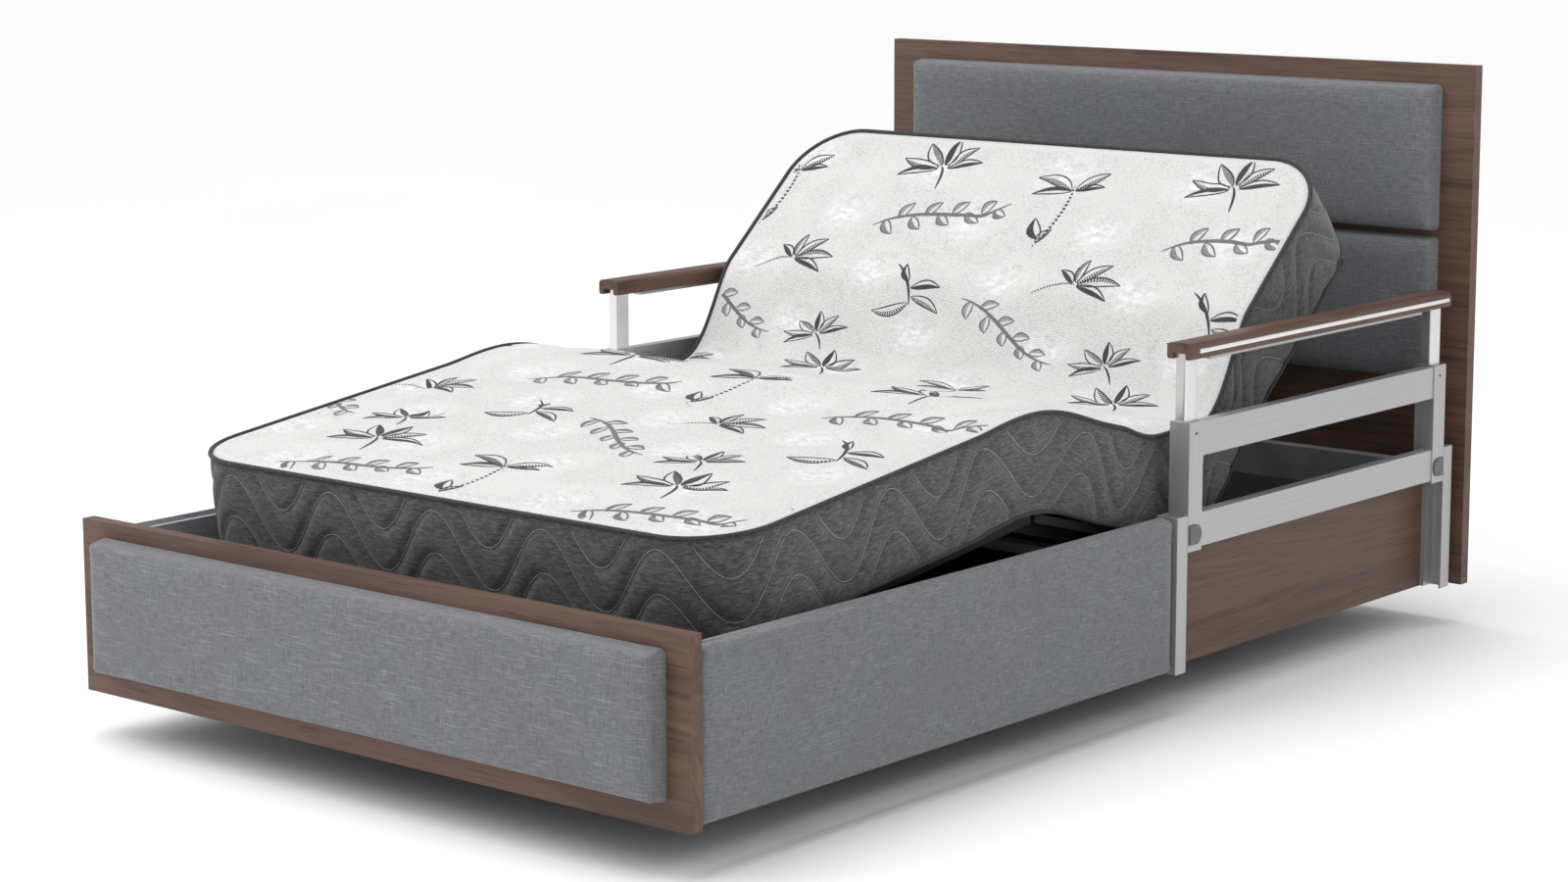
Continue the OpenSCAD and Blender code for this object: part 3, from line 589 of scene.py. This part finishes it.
def top_height(x, y):
    """Height of the ticking: crowned, drawn down at the edge seam and dimpled at the tufts."""
    d = inset(x, y)
    edge = 1 - np.clip(d / EDGE_WIDTH, 0, 1)
    away = smoothstep(d / RIPPLE_START)
    tuft = tuft_distance(x, y)
    dimple = TUFT_PIT * np.exp(-((tuft / PIT_WIDTH) ** 2)) + TUFT_DISH * np.exp(-((tuft / DISH_WIDTH) ** 2))
    ripple = np.sin(x * 31 + 1.3 * np.sin(y * 17)) * np.sin(y * 27 + 1.1 * np.sin(x * 13))
    crowned = TOP - EDGE_DROP * edge**2 + CROWN * smoothstep(d / CROWN_WIDTH)
    return crowned - away * dimple + RIPPLE * away * ripple


ROW_STEP = 0.0065


def lengthwise_rows():
    """Flat y of every row: fine round the corners, even between, with rows on the two lines where pieces meet."""
    arc = CORNER * (1 - np.cos(np.radians(np.arange(0, 90.1, 2.5))))
    rows = [FOOT_END + arc]
    stops = (FOOT_END + CORNER, LEG_LINE, SEAT_LINE, HEAD_END - CORNER)
    for a, b in zip(stops, stops[1:]):
        rows.append(np.linspace(a, b, max(2, round((b - a) / ROW_STEP)) + 1)[1:])
    rows.append((HEAD_END - arc[::-1])[1:])
    return np.concatenate(rows)


ROWS = lengthwise_rows()
COLUMNS = np.linspace(-1, 1, 141)


def half_width_at(y):
    d = np.minimum(y - FOOT_END, HEAD_END - y)
    c = np.clip(CORNER - d, 0, CORNER)
    return HALF_WIDTH - CORNER + np.sqrt(np.maximum(CORNER**2 - c**2, 0))


WIDTHS = half_width_at(ROWS)
LAST_ROW, LAST_COLUMN = len(ROWS) - 1, len(COLUMNS) - 1

# The outline, walked foot end (left to right), right side, head end (right to left), left side
OUTLINE = np.array(
    [(0, c) for c in range(LAST_COLUMN)] + [(r, LAST_COLUMN) for r in range(LAST_ROW)]
    + [(LAST_ROW, c) for c in range(LAST_COLUMN, 0, -1)] + [(r, 0) for r in range(LAST_ROW, 0, -1)]
)
OUT_XY = np.stack([COLUMNS[OUTLINE[:, 1]] * WIDTHS[OUTLINE[:, 0]], ROWS[OUTLINE[:, 0]]], 1)
tangent = np.roll(OUT_XY, -1, 0) - np.roll(OUT_XY, 1, 0)
OUT_NORMAL = np.stack([tangent[:, 1], -tangent[:, 0]], 1)
OUT_NORMAL /= np.linalg.norm(OUT_NORMAL, axis=1)[:, None]
steps = np.linalg.norm(np.roll(OUT_XY, -1, 0) - OUT_XY, axis=1)
OUT_S = np.concatenate([[0], np.cumsum(steps)[:-1]])
PERIMETER = steps.sum()

# The border's quilting waves: their length, the depth of the first one's middle, their swing and their spacing
WAVE_LENGTH = PERIMETER / round(PERIMETER / 0.235)
WAVE_MIDDLE, WAVE_SWING, WAVE_STEP = 0.0835, 0.0575, 0.07
LINES = (-1, 0, 1, 2)

# How far the border bulges, puffs up between the waves and is pinched in along them, and how wide a pinch is
BULGE, PUFF, PINCH, PINCH_WIDTH = 0.0035, 0.0022, 0.0054, 0.0075


def wave_depth(s, k):
    """Depth below the border's top edge of quilting line k at distance s round the mattress."""
    return WAVE_MIDDLE - WAVE_SWING * np.cos(2 * np.pi * s / WAVE_LENGTH) + WAVE_STEP * k - EDGE_DROP


def border_out(s, v):
    """How far the border stands out of the outline at distance s, depth v: bulged, pinched along the quilting."""
    steep = np.abs(WAVE_SWING * 2 * np.pi / WAVE_LENGTH * np.sin(2 * np.pi * s / WAVE_LENGTH))
    near = np.full(np.shape(v), 1.0)
    for k in LINES:
        near = np.minimum(near, np.abs(v - wave_depth(s, k)) / np.sqrt(1 + steep**2))
    share = np.clip(v / BORDER_HEIGHT, 0, 1)
    ends = np.clip(np.minimum(share, 1 - share) / 0.08, 0, 1)
    return BULGE * np.sin(np.pi * share) + ends * (PUFF - PINCH * np.exp(-((near / PINCH_WIDTH) ** 2)))


def on_outline(s, column):
    """What column says for each outline point, read at distances s round the mattress."""
    return np.interp(s % PERIMETER, np.append(OUT_S, PERIMETER), np.append(column, column[0]))


def outward_at(s):
    """The level direction out of the mattress at distances s round it."""
    return np.column_stack([on_outline(s, OUT_NORMAL[:, 0]), on_outline(s, OUT_NORMAL[:, 1]), np.zeros(len(s))])


def border_point(s, v, lift=0.0):
    """The border's place at distances s round the mattress and depths v, in flat coordinates."""
    out = border_out(s % PERIMETER, v) + lift
    x, y = (on_outline(s, OUT_XY[:, axis]) + on_outline(s, OUT_NORMAL[:, axis]) * out for axis in (0, 1))
    return np.stack([x, y, TOP - EDGE_DROP - v], -1)


LEVELS = np.linspace(0, BORDER_HEIGHT, 39)


def mattress_mesh():
    """Vertices in flat coordinates, faces with their material, and the border's vertices level by level."""
    columns = len(COLUMNS)
    gx = COLUMNS[None, :] * WIDTHS[:, None]
    gy = np.repeat(ROWS[:, None], columns, 1)
    vertices = [np.stack([gx, gy, top_height(gx, gy)], -1).reshape(-1, 3)]
    faces = [(f, 0) for f in grid_faces(len(ROWS), columns)]
    count = len(vertices[0])
    rim = [OUTLINE[:, 0] * columns + OUTLINE[:, 1]]
    for v in LEVELS[1:]:
        ring = border_point(OUT_S, np.full(len(OUT_S), v))
        vertices.append(ring)
        rim.append(np.arange(count, count + len(ring)))
        count += len(ring)
    rim = np.array(rim)
    for upper, lower in zip(rim, rim[1:]):
        for i in range(len(OUTLINE)):
            j = (i + 1) % len(OUTLINE)
            faces.append(((upper[j], upper[i], lower[i], lower[j]), 1))
    # underside: one strip of faces per row across the width, an outline-shaped face at each end
    low = {tuple(place): i for place, i in zip(OUTLINE, rim[-1])}
    left = [low[r, 0] for r in range(LAST_ROW)]
    right = [low[r, LAST_COLUMN] for r in range(LAST_ROW)]
    faces.append(([low[0, c] for c in range(columns)] + [right[1], left[1]], 2))
    faces.append(([left[-1], right[-1]] + [low[LAST_ROW, c] for c in range(LAST_COLUMN, -1, -1)], 2))
    for r in range(1, LAST_ROW - 1):
        faces.append(((left[r], right[r], right[r + 1], left[r + 1]), 2))
    return np.concatenate(vertices), faces, rim


def zone_piece(name, zone_name, vertices, faces, material):
    """Some faces of flat vertices made a piece, settled on the deck; returns it and its flat vertices."""
    used = sorted({i for f in faces for i in f})
    renumber = {old: new for new, old in enumerate(used)}
    flat = vertices[used]
    faces = [[renumber[i] for i in f] for f in faces]
    return mesh_piece(name, settle(flat, zone_name), faces, material, flat), flat


def build_mattress():
    """The mattress's three pieces, from foot to head, each closed where it meets the next one."""
    vertices, faces, rim = mattress_mesh()
    zone = zone_of(np.array([np.mean([vertices[i][1] for i in f]) for f, _ in faces]))
    position = {tuple(place): i for i, place in enumerate(OUTLINE)}
    pieces = []
    for index, zone_name in enumerate(ZONE_NAMES):
        chosen = [faces[i] for i in np.nonzero(zone == index)[0]]
        for line, foot_side in ((SEAT_LINE, 1), (LEG_LINE, 0)):
            if index in (foot_side, foot_side + 1):
                row = int(np.argmin(np.abs(ROWS - line)))
                loop = [row * len(COLUMNS) + c for c in range(len(COLUMNS))]
                loop += list(rim[1:, position[row, LAST_COLUMN]]) + list(rim[:0:-1, position[row, 0]])
                chosen.append((loop if index > foot_side else loop[::-1], 3))
        name = "mattress_" + zone_name + "_cover"
        obj, flat = zone_piece(name, zone_name, vertices, [f for f, _ in chosen], KNIT)
        for material in (HEATHER, UNDERSIDE, UNDERSIDE):
            obj.data.materials.append(material)
        # Nearness to a tuft, stored as the mask of the knit's painted highlight
        near_tuft = np.exp(-((tuft_distance(flat[:, 0] + 0.02, flat[:, 1] + 0.02) / 0.045) ** 2))
        tuft = obj.data.attributes.new("tuft", "FLOAT", "POINT")
        tuft.data.foreach_set("value", near_tuft.astype(np.float32))
        obj.data.polygons.foreach_set("material_index", [m for _, m in chosen])
        mark_sharp(obj)
        pieces.append(obj)
    return pieces


def mark_sharp(obj):
    """Keeps the edges between differently covered faces crisp."""
    mesh = obj.data
    material_at = {}
    sharp = [False] * len(mesh.edges)
    keys = {tuple(sorted(e.vertices)): e.index for e in mesh.edges}
    for polygon in mesh.polygons:
        for key in polygon.edge_keys:
            index = keys[key]
            if index in material_at and material_at[index] != polygon.material_index:
                sharp[index] = True
            material_at[index] = polygon.material_index
    mesh.edges.foreach_set("use_edge_sharp", sharp)


class Strips:
    """Collects small faces in flat coordinates and makes one piece per bending zone."""

    def __init__(self):
        self.vertices, self.faces, self.count = [], [], 0

    def add(self, vertices, faces):
        self.vertices.append(np.asarray(vertices, float))
        self.faces.extend([[i + self.count for i in f] for f in faces])
        self.count += len(vertices)

    def tube(self, points, outward, radius, sides):
        """A thin closed tube along points; outward is a direction away from the cloth at each of them."""
        forward = np.gradient(points, axis=0)
        forward /= np.linalg.norm(forward, axis=1)[:, None]
        other = np.cross(forward, outward)
        other /= np.linalg.norm(other, axis=1)[:, None]
        normal = np.cross(other, forward)
        angles = (2 * np.pi * np.arange(sides) / sides)[None, :, None]
        around = np.cos(angles) * normal[:, None, :] + np.sin(angles) * other[:, None, :]
        rings = points[:, None, :] + radius * around
        ends = [list(range(sides))[::-1], [(len(rings) - 1) * sides + i for i in range(sides)]]
        self.add(rings.reshape(-1, 3), grid_faces(len(rings), sides, wrap=True) + ends)

    def pieces(self, name, material):
        flat = np.concatenate(self.vertices)
        zone = zone_of(np.array([np.mean(flat[f, 1]) for f in self.faces]))
        for index, zone_name in enumerate(ZONE_NAMES):
            chosen = [self.faces[i] for i in np.nonzero(zone == index)[0]]
            if chosen:
                obj, _ = zone_piece(f"{name}_{zone_name}", zone_name, flat, chosen, material)
                bend_piece(obj)


MATTRESS_NODES = (("mattress_leg",), ("mattress_thigh",), ("mattress_back", "mattress_seat"))
for piece, zone_name, node_names in zip(build_mattress(), ZONE_NAMES, MATTRESS_NODES):
    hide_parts(*node_names)
    bend_piece(piece)

# Piping round the top and the bottom edge: depth, lift off the border, radius
piping = Strips()
around = np.append(OUT_S, PERIMETER)
for depth, lift, radius in ((-0.001, 0.0012, 0.0044), (BORDER_HEIGHT - 0.004, 0.001, 0.0034)):
    piping.tube(border_point(around, np.full(len(around), depth), lift), outward_at(around), radius, 8)
piping.pieces("mattress_piping", PIPING)

# Quilting thread along the waves of the border, left out close to its edges
THREAD_STEP, THREAD_RADIUS = 0.005, 0.0009
threads = Strips()
s = np.arange(0, PERIMETER + 0.002, THREAD_STEP)
for k in LINES:
    v = wave_depth(s, k)
    shown = (v > 0.007) & (v < BORDER_HEIGHT - 0.009)
    edges = np.flatnonzero(np.diff(np.concatenate([[0], shown.astype(int), [0]])))
    for a, b in zip(edges[::2], edges[1::2]):
        if b - a >= 4:
            threads.tube(border_point(s[a:b], v[a:b], 0.001), outward_at(s[a:b]), THREAD_RADIUS, 4)
threads.pieces("mattress_quilting", THREAD)


# ---------------------------------------------------------------- printed leaves on the ticking

# The ink's height over the ticking, its least distance from the edge, and a stroke's least width
PRINT_LIFT, PRINT_MARGIN, THINNEST = 0.0006, 0.012, 0.0012


class Pen:
    """Draws strokes of varying width on the flat ticking."""

    def __init__(self, origin, angle, scale=1.0):
        self.origin, self.scale = np.array(origin, float), scale
        c, s = math.cos(angle), math.sin(angle)
        self.turn = np.array(((c, s), (-s, c)))

    def stroke(self, book, points, width, step=1):
        """One strip along local points, width a number or one per point."""
        points = np.asarray(points, float) * self.scale
        width = np.broadcast_to(np.asarray(width, float), (len(points),)) * self.scale
        points = points @ self.turn + self.origin
        forward = np.gradient(points, axis=0)
        length = np.maximum(np.linalg.norm(forward, axis=1), 1e-9)
        side = np.stack([-forward[:, 1], forward[:, 0]], 1) / length[:, None] * width[:, None] / 2
        left, right = points + side, points - side
        flat = np.concatenate([left, right])
        inside = inset(flat[:, 0], flat[:, 1])
        z = top_height(flat[:, 0], flat[:, 1]) + PRINT_LIFT
        n = len(points)
        faces = []
        for i in range(0, n - 1, step):
            quad = (i, n + i, n + i + 1, i + 1)
            if min(inside[list(quad)]) > PRINT_MARGIN:
                faces.append(quad)
        if faces:
            book.add(np.column_stack([flat, z]), faces)


def taper(t, peak):
    """Stroke width that swells from a thin start to peak and thins out again."""
    return THINNEST + (peak - THINNEST) * np.sin(np.pi * np.clip(t, 0, 1)) ** 0.7


def leaf(pen, book, root, angle, length, width, shade=0, curl=0.12):
    """A pointed leaf: two thin edges; shade fills one half, +1 or -1, in short hatches, +2 or -2 solid."""
    t = np.linspace(0, 1, 31)
    c, s = math.cos(angle), math.sin(angle)
    spine_x, spine_y = t * length, curl * length * np.sin(np.pi * t * 0.9)
    half = width / 2 * np.sin(np.pi * t**0.85) ** 0.9

    def path(share):
        x, y = spine_x, spine_y + share * half
        return np.stack([root[0] + x * c - y * s, root[1] + x * s + y * c], 1)

    for sign in (1, -1):
        pen.stroke(book, path(sign), taper(t, 0.003))
    if shade:
        sign = 1 if shade > 0 else -1
        pen.stroke(book, path(sign * 0.52), half * 0.95 + 0.0006, 2 if abs(shade) == 1 else 1)


def stem(pen, book, points, width, dotted=False):
    """A smooth line through a few points."""
    points = np.asarray(points, float)
    t = np.linspace(0, 1, len(points))
    fine = np.linspace(0, 1, 34)
    path = np.stack([np.polyval(np.polyfit(t, points[:, a], len(points) - 1), fine) for a in (0, 1)], 1)
    pen.stroke(book, path, taper(fine, width), 2 if dotted else 1)


def leaves(pen, book, root, table, reach=0.01):
    """Leaves spread from one point: table rows are (degrees, length, width, shade, curl)."""
    for degrees, length, width, shade, curl in table:
        turn = math.radians(degrees)
        start = (root[0] + reach * math.cos(turn), root[1] + reach * math.sin(turn))
        leaf(pen, book, start, turn, length, width, shade, curl)


def fan(pen, book):
    """Six leaves spread from the top of a short stem."""
    leaves(pen, book, (0, 0), (
        (166, 0.085, 0.023, 1, 0.06), (196, 0.082, 0.019, -2, -0.1), (128, 0.07, 0.026, -1, 0.08),
        (84, 0.066, 0.024, 2, -0.06), (38, 0.07, 0.022, -1, 0.1), (6, 0.078, 0.018, -2, 0.1),
    ))
    stem(pen, book, ((-0.004, 0.006), (0.008, -0.018), (0.014, -0.058)), 0.0052)


def twig(pen, book):
    """A tall hatched stem with leaves spread at its tip and one low down."""
    stem(pen, book, ((-0.02, -0.1), (0.02, -0.03), (0.034, 0.05)), 0.0062, True)
    leaves(pen, book, (0.034, 0.035), (
        (150, 0.094, 0.026, 1, -0.14), (176, 0.082, 0.018, -2, -0.08), (24, 0.072, 0.024, -1, 0.08),
        (-4, 0.06, 0.014, -2, 0.1),
    ), 0.004)
    leaf(pen, book, (-0.012, -0.082), math.radians(104), 0.058, 0.026, 2, 0.12)
    leaf(pen, book, (-0.016, -0.09), math.radians(42), 0.04, 0.016, -1, 0.1)


def spray(pen, book):
    """Leaves swept to one side of a slanting stem."""
    stem(pen, book, ((-0.082, -0.034), (-0.04, -0.006), (0.0, 0.0)), 0.005, True)
    leaves(pen, book, (0, 0), (
        (8, 0.09, 0.022, 1, 0.1), (-18, 0.08, 0.018, -2, 0.1), (44, 0.074, 0.022, -1, 0.1),
        (88, 0.056, 0.018, 1, 0.1), (150, 0.05, 0.016, 2, -0.1),
    ), 0.006)


def swallow(pen, book):
    """A bent stem with a notched leaf below and thin ones above."""
    stem(pen, book, ((-0.06, 0.066), (-0.018, 0.026), (0.004, -0.03)), 0.006)
    leaf(pen, book, (0.0, -0.026), math.radians(196), 0.082, 0.026, 1, 0.16)
    leaf(pen, book, (-0.004, 0.01), math.radians(4), 0.068, 0.02, -2, 0.14)
    leaf(pen, book, (0.004, -0.01), math.radians(-26), 0.078, 0.02, -1, 0.1)
    leaf(pen, book, (-0.014, 0.024), math.radians(118), 0.05, 0.016, 2, 0.1)


def reed(pen, book):
    """A long slender branch with small rounded leaves on alternate sides."""
    stem(pen, book, ((-0.13, -0.01), (-0.04, 0.005), (0.05, -0.004), (0.135, 0.012)), 0.0078)
    for i in range(9):
        x = -0.108 + 0.0265 * i
        up = 1 if i % 2 else -1
        leaf(pen, book, (x, 0.001), math.radians(up * (56 - 3 * i)), 0.042 - 0.0012 * i, 0.019, up, up * 0.12)


# The print repeats by PRINT_STEP, each row shifted by PRINT_LEAN; a motif is a drawing, place, degrees, size, ink
PRINT_STEP = (0.67, 0.57)
PRINT_LEAN, PRINT_START = -0.03, -0.04
OVERHANG, CREASE_REACH = 0.12, 0.09
MOTIFS = (
    (fan, (-0.235, 1.01), 4, 1.04, 0), (twig, (0.075, 0.93), 16, 1.02, 0), (reed, (-0.165, 0.885), 12, 1.12, 1),
    (spray, (0.225, 0.745), -4, 1.0, 0), (swallow, (-0.13, 0.69), 0, 1.0, 0), (reed, (0.11, 0.62), -34, 1.05, 1),
    (fan, (-0.32, 0.56), 14, 0.85, 0),
)
dark_print, soft_print = Strips(), Strips()
for row in range(-1, 5):
    for column in range(-2, 3):
        for draw, (x, y), degrees, size, soft in MOTIFS:
            place = (x + PRINT_STEP[0] * column + PRINT_LEAN * row, y + PRINT_START - PRINT_STEP[1] * row)
            off_the_edge = inset(*map(np.array, place)) < -OVERHANG
            in_the_crease = soft and abs(place[1] - SEAT_LINE) < CREASE_REACH
            if not (off_the_edge or in_the_crease):
                draw(Pen(place, math.radians(degrees), size), soft_print if soft else dark_print)
dark_print.pieces("ticking_print_dark", INK)
soft_print.pieces("ticking_print_grey", INK_SOFT)


# ---------------------------------------------------------------- upholstered pads

PAD_STEP = 0.014
HELD_DEPTH = 0.006


def stations(low, high, radius):
    """Places from low to high: close together within radius of each end, PAD_STEP apart between."""
    arc = radius * (1 - np.cos(np.linspace(0, np.pi / 2, 7)))
    middle = np.linspace(low + radius, high - radius, max(2, round((high - low - 2 * radius) / PAD_STEP) + 1))
    return np.concatenate([low + arc[:-1], middle, (high - arc[::-1])[1:]])


def rounded_slab(name, low, high, radius, face_axis, outward):
    """A closed padded board, rounded but for its mounting face, and the place of that face."""
    rows = [stations(low[a], high[a], radius) for a in range(3)]
    index, vertices, faces = {}, [], []

    def vertex(i, j, k):
        key = (i, j, k)
        if key not in index:
            index[key] = len(vertices)
            vertices.append((rows[0][i], rows[1][j], rows[2][k]))
        return index[key]

    for axis in range(3):
        u, v = (axis + 1) % 3, (axis + 2) % 3
        for at, forward in ((0, False), (len(rows[axis]) - 1, True)):
            for i in range(len(rows[u]) - 1):
                for j in range(len(rows[v]) - 1):
                    loop = []
                    for du, dv in ((0, 0), (1, 0), (1, 1), (0, 1)):
                        place = [0, 0, 0]
                        place[axis], place[u], place[v] = at, i + du, j + dv
                        loop.append(vertex(*place))
                    faces.append(loop if forward else loop[::-1])
    points = np.array(vertices)
    inner_low, inner_high = low + radius, high - radius
    back = low[face_axis] if outward > 0 else high[face_axis]
    if outward > 0:
        inner_low[face_axis] = back
    else:
        inner_high[face_axis] = back
    core = np.clip(points, inner_low, inner_high)
    away = points - core
    length = np.maximum(np.linalg.norm(away, axis=1), 1e-12)
    points = core + away * (np.abs(away).max(1) / length)[:, None]
    mesh = bpy.data.meshes.new(name)
    mesh.from_pydata(points.tolist(), [], faces)
    obj = bpy.data.objects.new(name, mesh)
    scene.collection.objects.link(obj)
    return obj, back


def apply_modifiers(obj):
    depsgraph = bpy.context.evaluated_depsgraph_get()
    mesh = bpy.data.meshes.new_from_object(obj.evaluated_get(depsgraph))
    obj.modifiers.clear()
    old = obj.data
    obj.data = mesh
    bpy.data.meshes.remove(old)


def coordinates(mesh):
    co = np.zeros(len(mesh.vertices) * 3)
    mesh.vertices.foreach_get("co", co)
    return co.reshape(-1, 3)


def swell(obj, face_axis, back, cap):
    """Cloth under pressure, held at the mounting face, with no point moving further than cap."""
    before = coordinates(obj.data)
    held = obj.vertex_groups.new(name="held")
    depth = np.abs(before[:, face_axis] - back)
    held.add(np.flatnonzero(depth < HELD_DEPTH).tolist(), 1.0, "REPLACE")
    cloth = obj.modifiers.new("cloth", "CLOTH")
    cloth.settings.use_pressure = True
    cloth.settings.uniform_pressure_force = 4.0
    cloth.settings.vertex_group_mass = "held"
    cloth.settings.effector_weights.gravity = 0
    cloth.settings.quality = 5
    for frame_number in range(1, 21):
        scene.frame_set(frame_number)
    apply_modifiers(obj)
    scene.frame_set(1)
    after = coordinates(obj.data)
    move = after - before
    length = np.maximum(np.linalg.norm(move, axis=1), 1e-9)
    move *= (np.minimum(length, cap) / length)[:, None]
    obj.data.vertices.foreach_set("co", (before + move).ravel())
    obj.data.update()


def pad(node, name, face_axis, outward, radius, cap, cloth):
    """An upholstered pad in a CAD solid's space, swollen by up to cap, with the brightened linen, a painted light,
    on its mounting face.
    """
    low, high = (np.array(v, float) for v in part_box(node))
    shy = cap * 0.8
    inner_low, inner_high = low + shy, high - shy
    if outward > 0:
        inner_low[face_axis] = low[face_axis]
    else:
        inner_high[face_axis] = high[face_axis]
    obj, back = rounded_slab(name, inner_low, inner_high, radius, face_axis, outward)
    swell(obj, face_axis, back, cap)
    obj.data.materials.clear()
    obj.data.materials.append(cloth)
    # The mounting face gets the brightened linen: painted light on a face in shade
    obj.data.materials.append(LINEN_PAINTED_LIGHT)
    mounted = [abs(face.center[face_axis] - back) < 0.0005 for face in obj.data.polygons]
    obj.data.polygons.foreach_set("material_index", [int(face) for face in mounted])
    obj.data.shade_smooth()
    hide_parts(node)
    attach(obj, "deck")


for node, cloth in (("headboard_pad_upper", LINEN), ("headboard_pad_lower", LINEN), ("footboard_pad", LINEN_FOOT)):
    pad(node, node + "_cover", face_axis=1, outward=-1, radius=0.012, cap=0.0035, cloth=cloth)
for sign, side in SIDES:
    node = "side_pad_" + side
    pad(node, node + "_cover", face_axis=0, outward=sign, radius=0.01, cap=0.003, cloth=LINEN_SIDE)


# ---------------------------------------------------------------- small hardware

def rounded_bar(name, low, high, material, radius):
    """A box with rounded edges, for small flat hardware."""
    corners = [(x, y, z) for x in (low[0], high[0]) for y in (low[1], high[1]) for z in (low[2], high[2])]
    faces = [(0, 1, 3, 2), (4, 6, 7, 5), (0, 4, 5, 1), (2, 3, 7, 6), (0, 2, 6, 4), (1, 5, 7, 3)]
    obj = mesh_piece(name, corners, faces, material, smooth=False)
    bevel = obj.modifiers.new("round", "BEVEL")
    bevel.width = radius
    bevel.segments = 3
    apply_modifiers(obj)
    obj.data.shade_smooth()
    return obj


SCREW_SIDES = 24
SCREW_RADIUS, SCREW_DEPTH = 0.0028, 0.001


def screw(name, centre, axis, material):
    """A pan-head screw: domed head with a hexagon socket, axis the direction it faces."""
    # Each ring: its share of the radius, its share of the depth, and whether it is a hexagon
    rings = (
        (1.0, 0.0, False), (1.0, 0.45, False), (0.86, 0.85, False), (0.5, 1.0, False),
        (0.5, 1.0, True), (0.48, 0.55, True), (0.0, 0.55, False),
    )
    w = Vector(axis).normalized()
    u = Vector(axis).orthogonal().normalized()
    v = w.cross(u)
    vertices = []
    for r, h, hexagon in rings:
        for i in range(SCREW_SIDES):
            turn = 2 * math.pi * round(i / 4) / 6 if hexagon else 2 * math.pi * i / SCREW_SIDES
            reach = r * SCREW_RADIUS
            level = Vector(centre) + u * (reach * math.cos(turn)) + v * (reach * math.sin(turn))
            vertices.append(tuple(level + w * (h * SCREW_DEPTH)))
    return mesh_piece(name, vertices, grid_faces(len(rings), SCREW_SIDES, wrap=True), material)


for sign, side in SIDES:
    low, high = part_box("handle_" + side)
    face = high[0] if sign > 0 else low[0]
    x0, x1 = sorted((face - sign * 0.004, face + sign * 0.0012))
    inlay_low, inlay_high = (x0, low[1] + 0.028, low[2] + 0.009), (x1, high[1] - 0.008, low[2] + 0.0165)
    inlay = rounded_bar("handle_inlay_" + side, inlay_low, inlay_high, ALU_BRIGHT, 0.0012)
    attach(inlay, "top_" + side)
    low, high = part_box("ladder_posts_" + side)
    face = high[0] if sign > 0 else low[0]
    for end in ("front", "rear"):
        button_low, button_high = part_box(f"button_{end}_{side}")
        centre = (face - sign * 0.0004, (button_low[1] + button_high[1]) / 2, high[2] - 0.02)
        post_screw = screw(f"post_screw_{end}_{side}", centre, (sign, 0, 0), SCREW)
        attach(post_screw, "ladder_" + side)


# ---------------------------------------------------------------- floor

FLOOR = 120.0
floor_material, add, put = start_material("studio_floor", Roughness=0.6, Specular_IOR_Level=0.25)
cloud = noise(add, object_coords(add), 0.6, 2, 0.5)
put("Base Color", ramp(add, cloud, (0.3, grey(0.94)), (0.7, grey(0.96))))
floor_corners = [(-FLOOR, -FLOOR, 0), (FLOOR, -FLOOR, 0), (FLOOR, FLOOR, 0), (-FLOOR, FLOOR, 0)]
floor = mesh_piece("floor", floor_corners, [(0, 1, 2, 3)], floor_material, smooth=False)

bpy.context.view_layer.update()
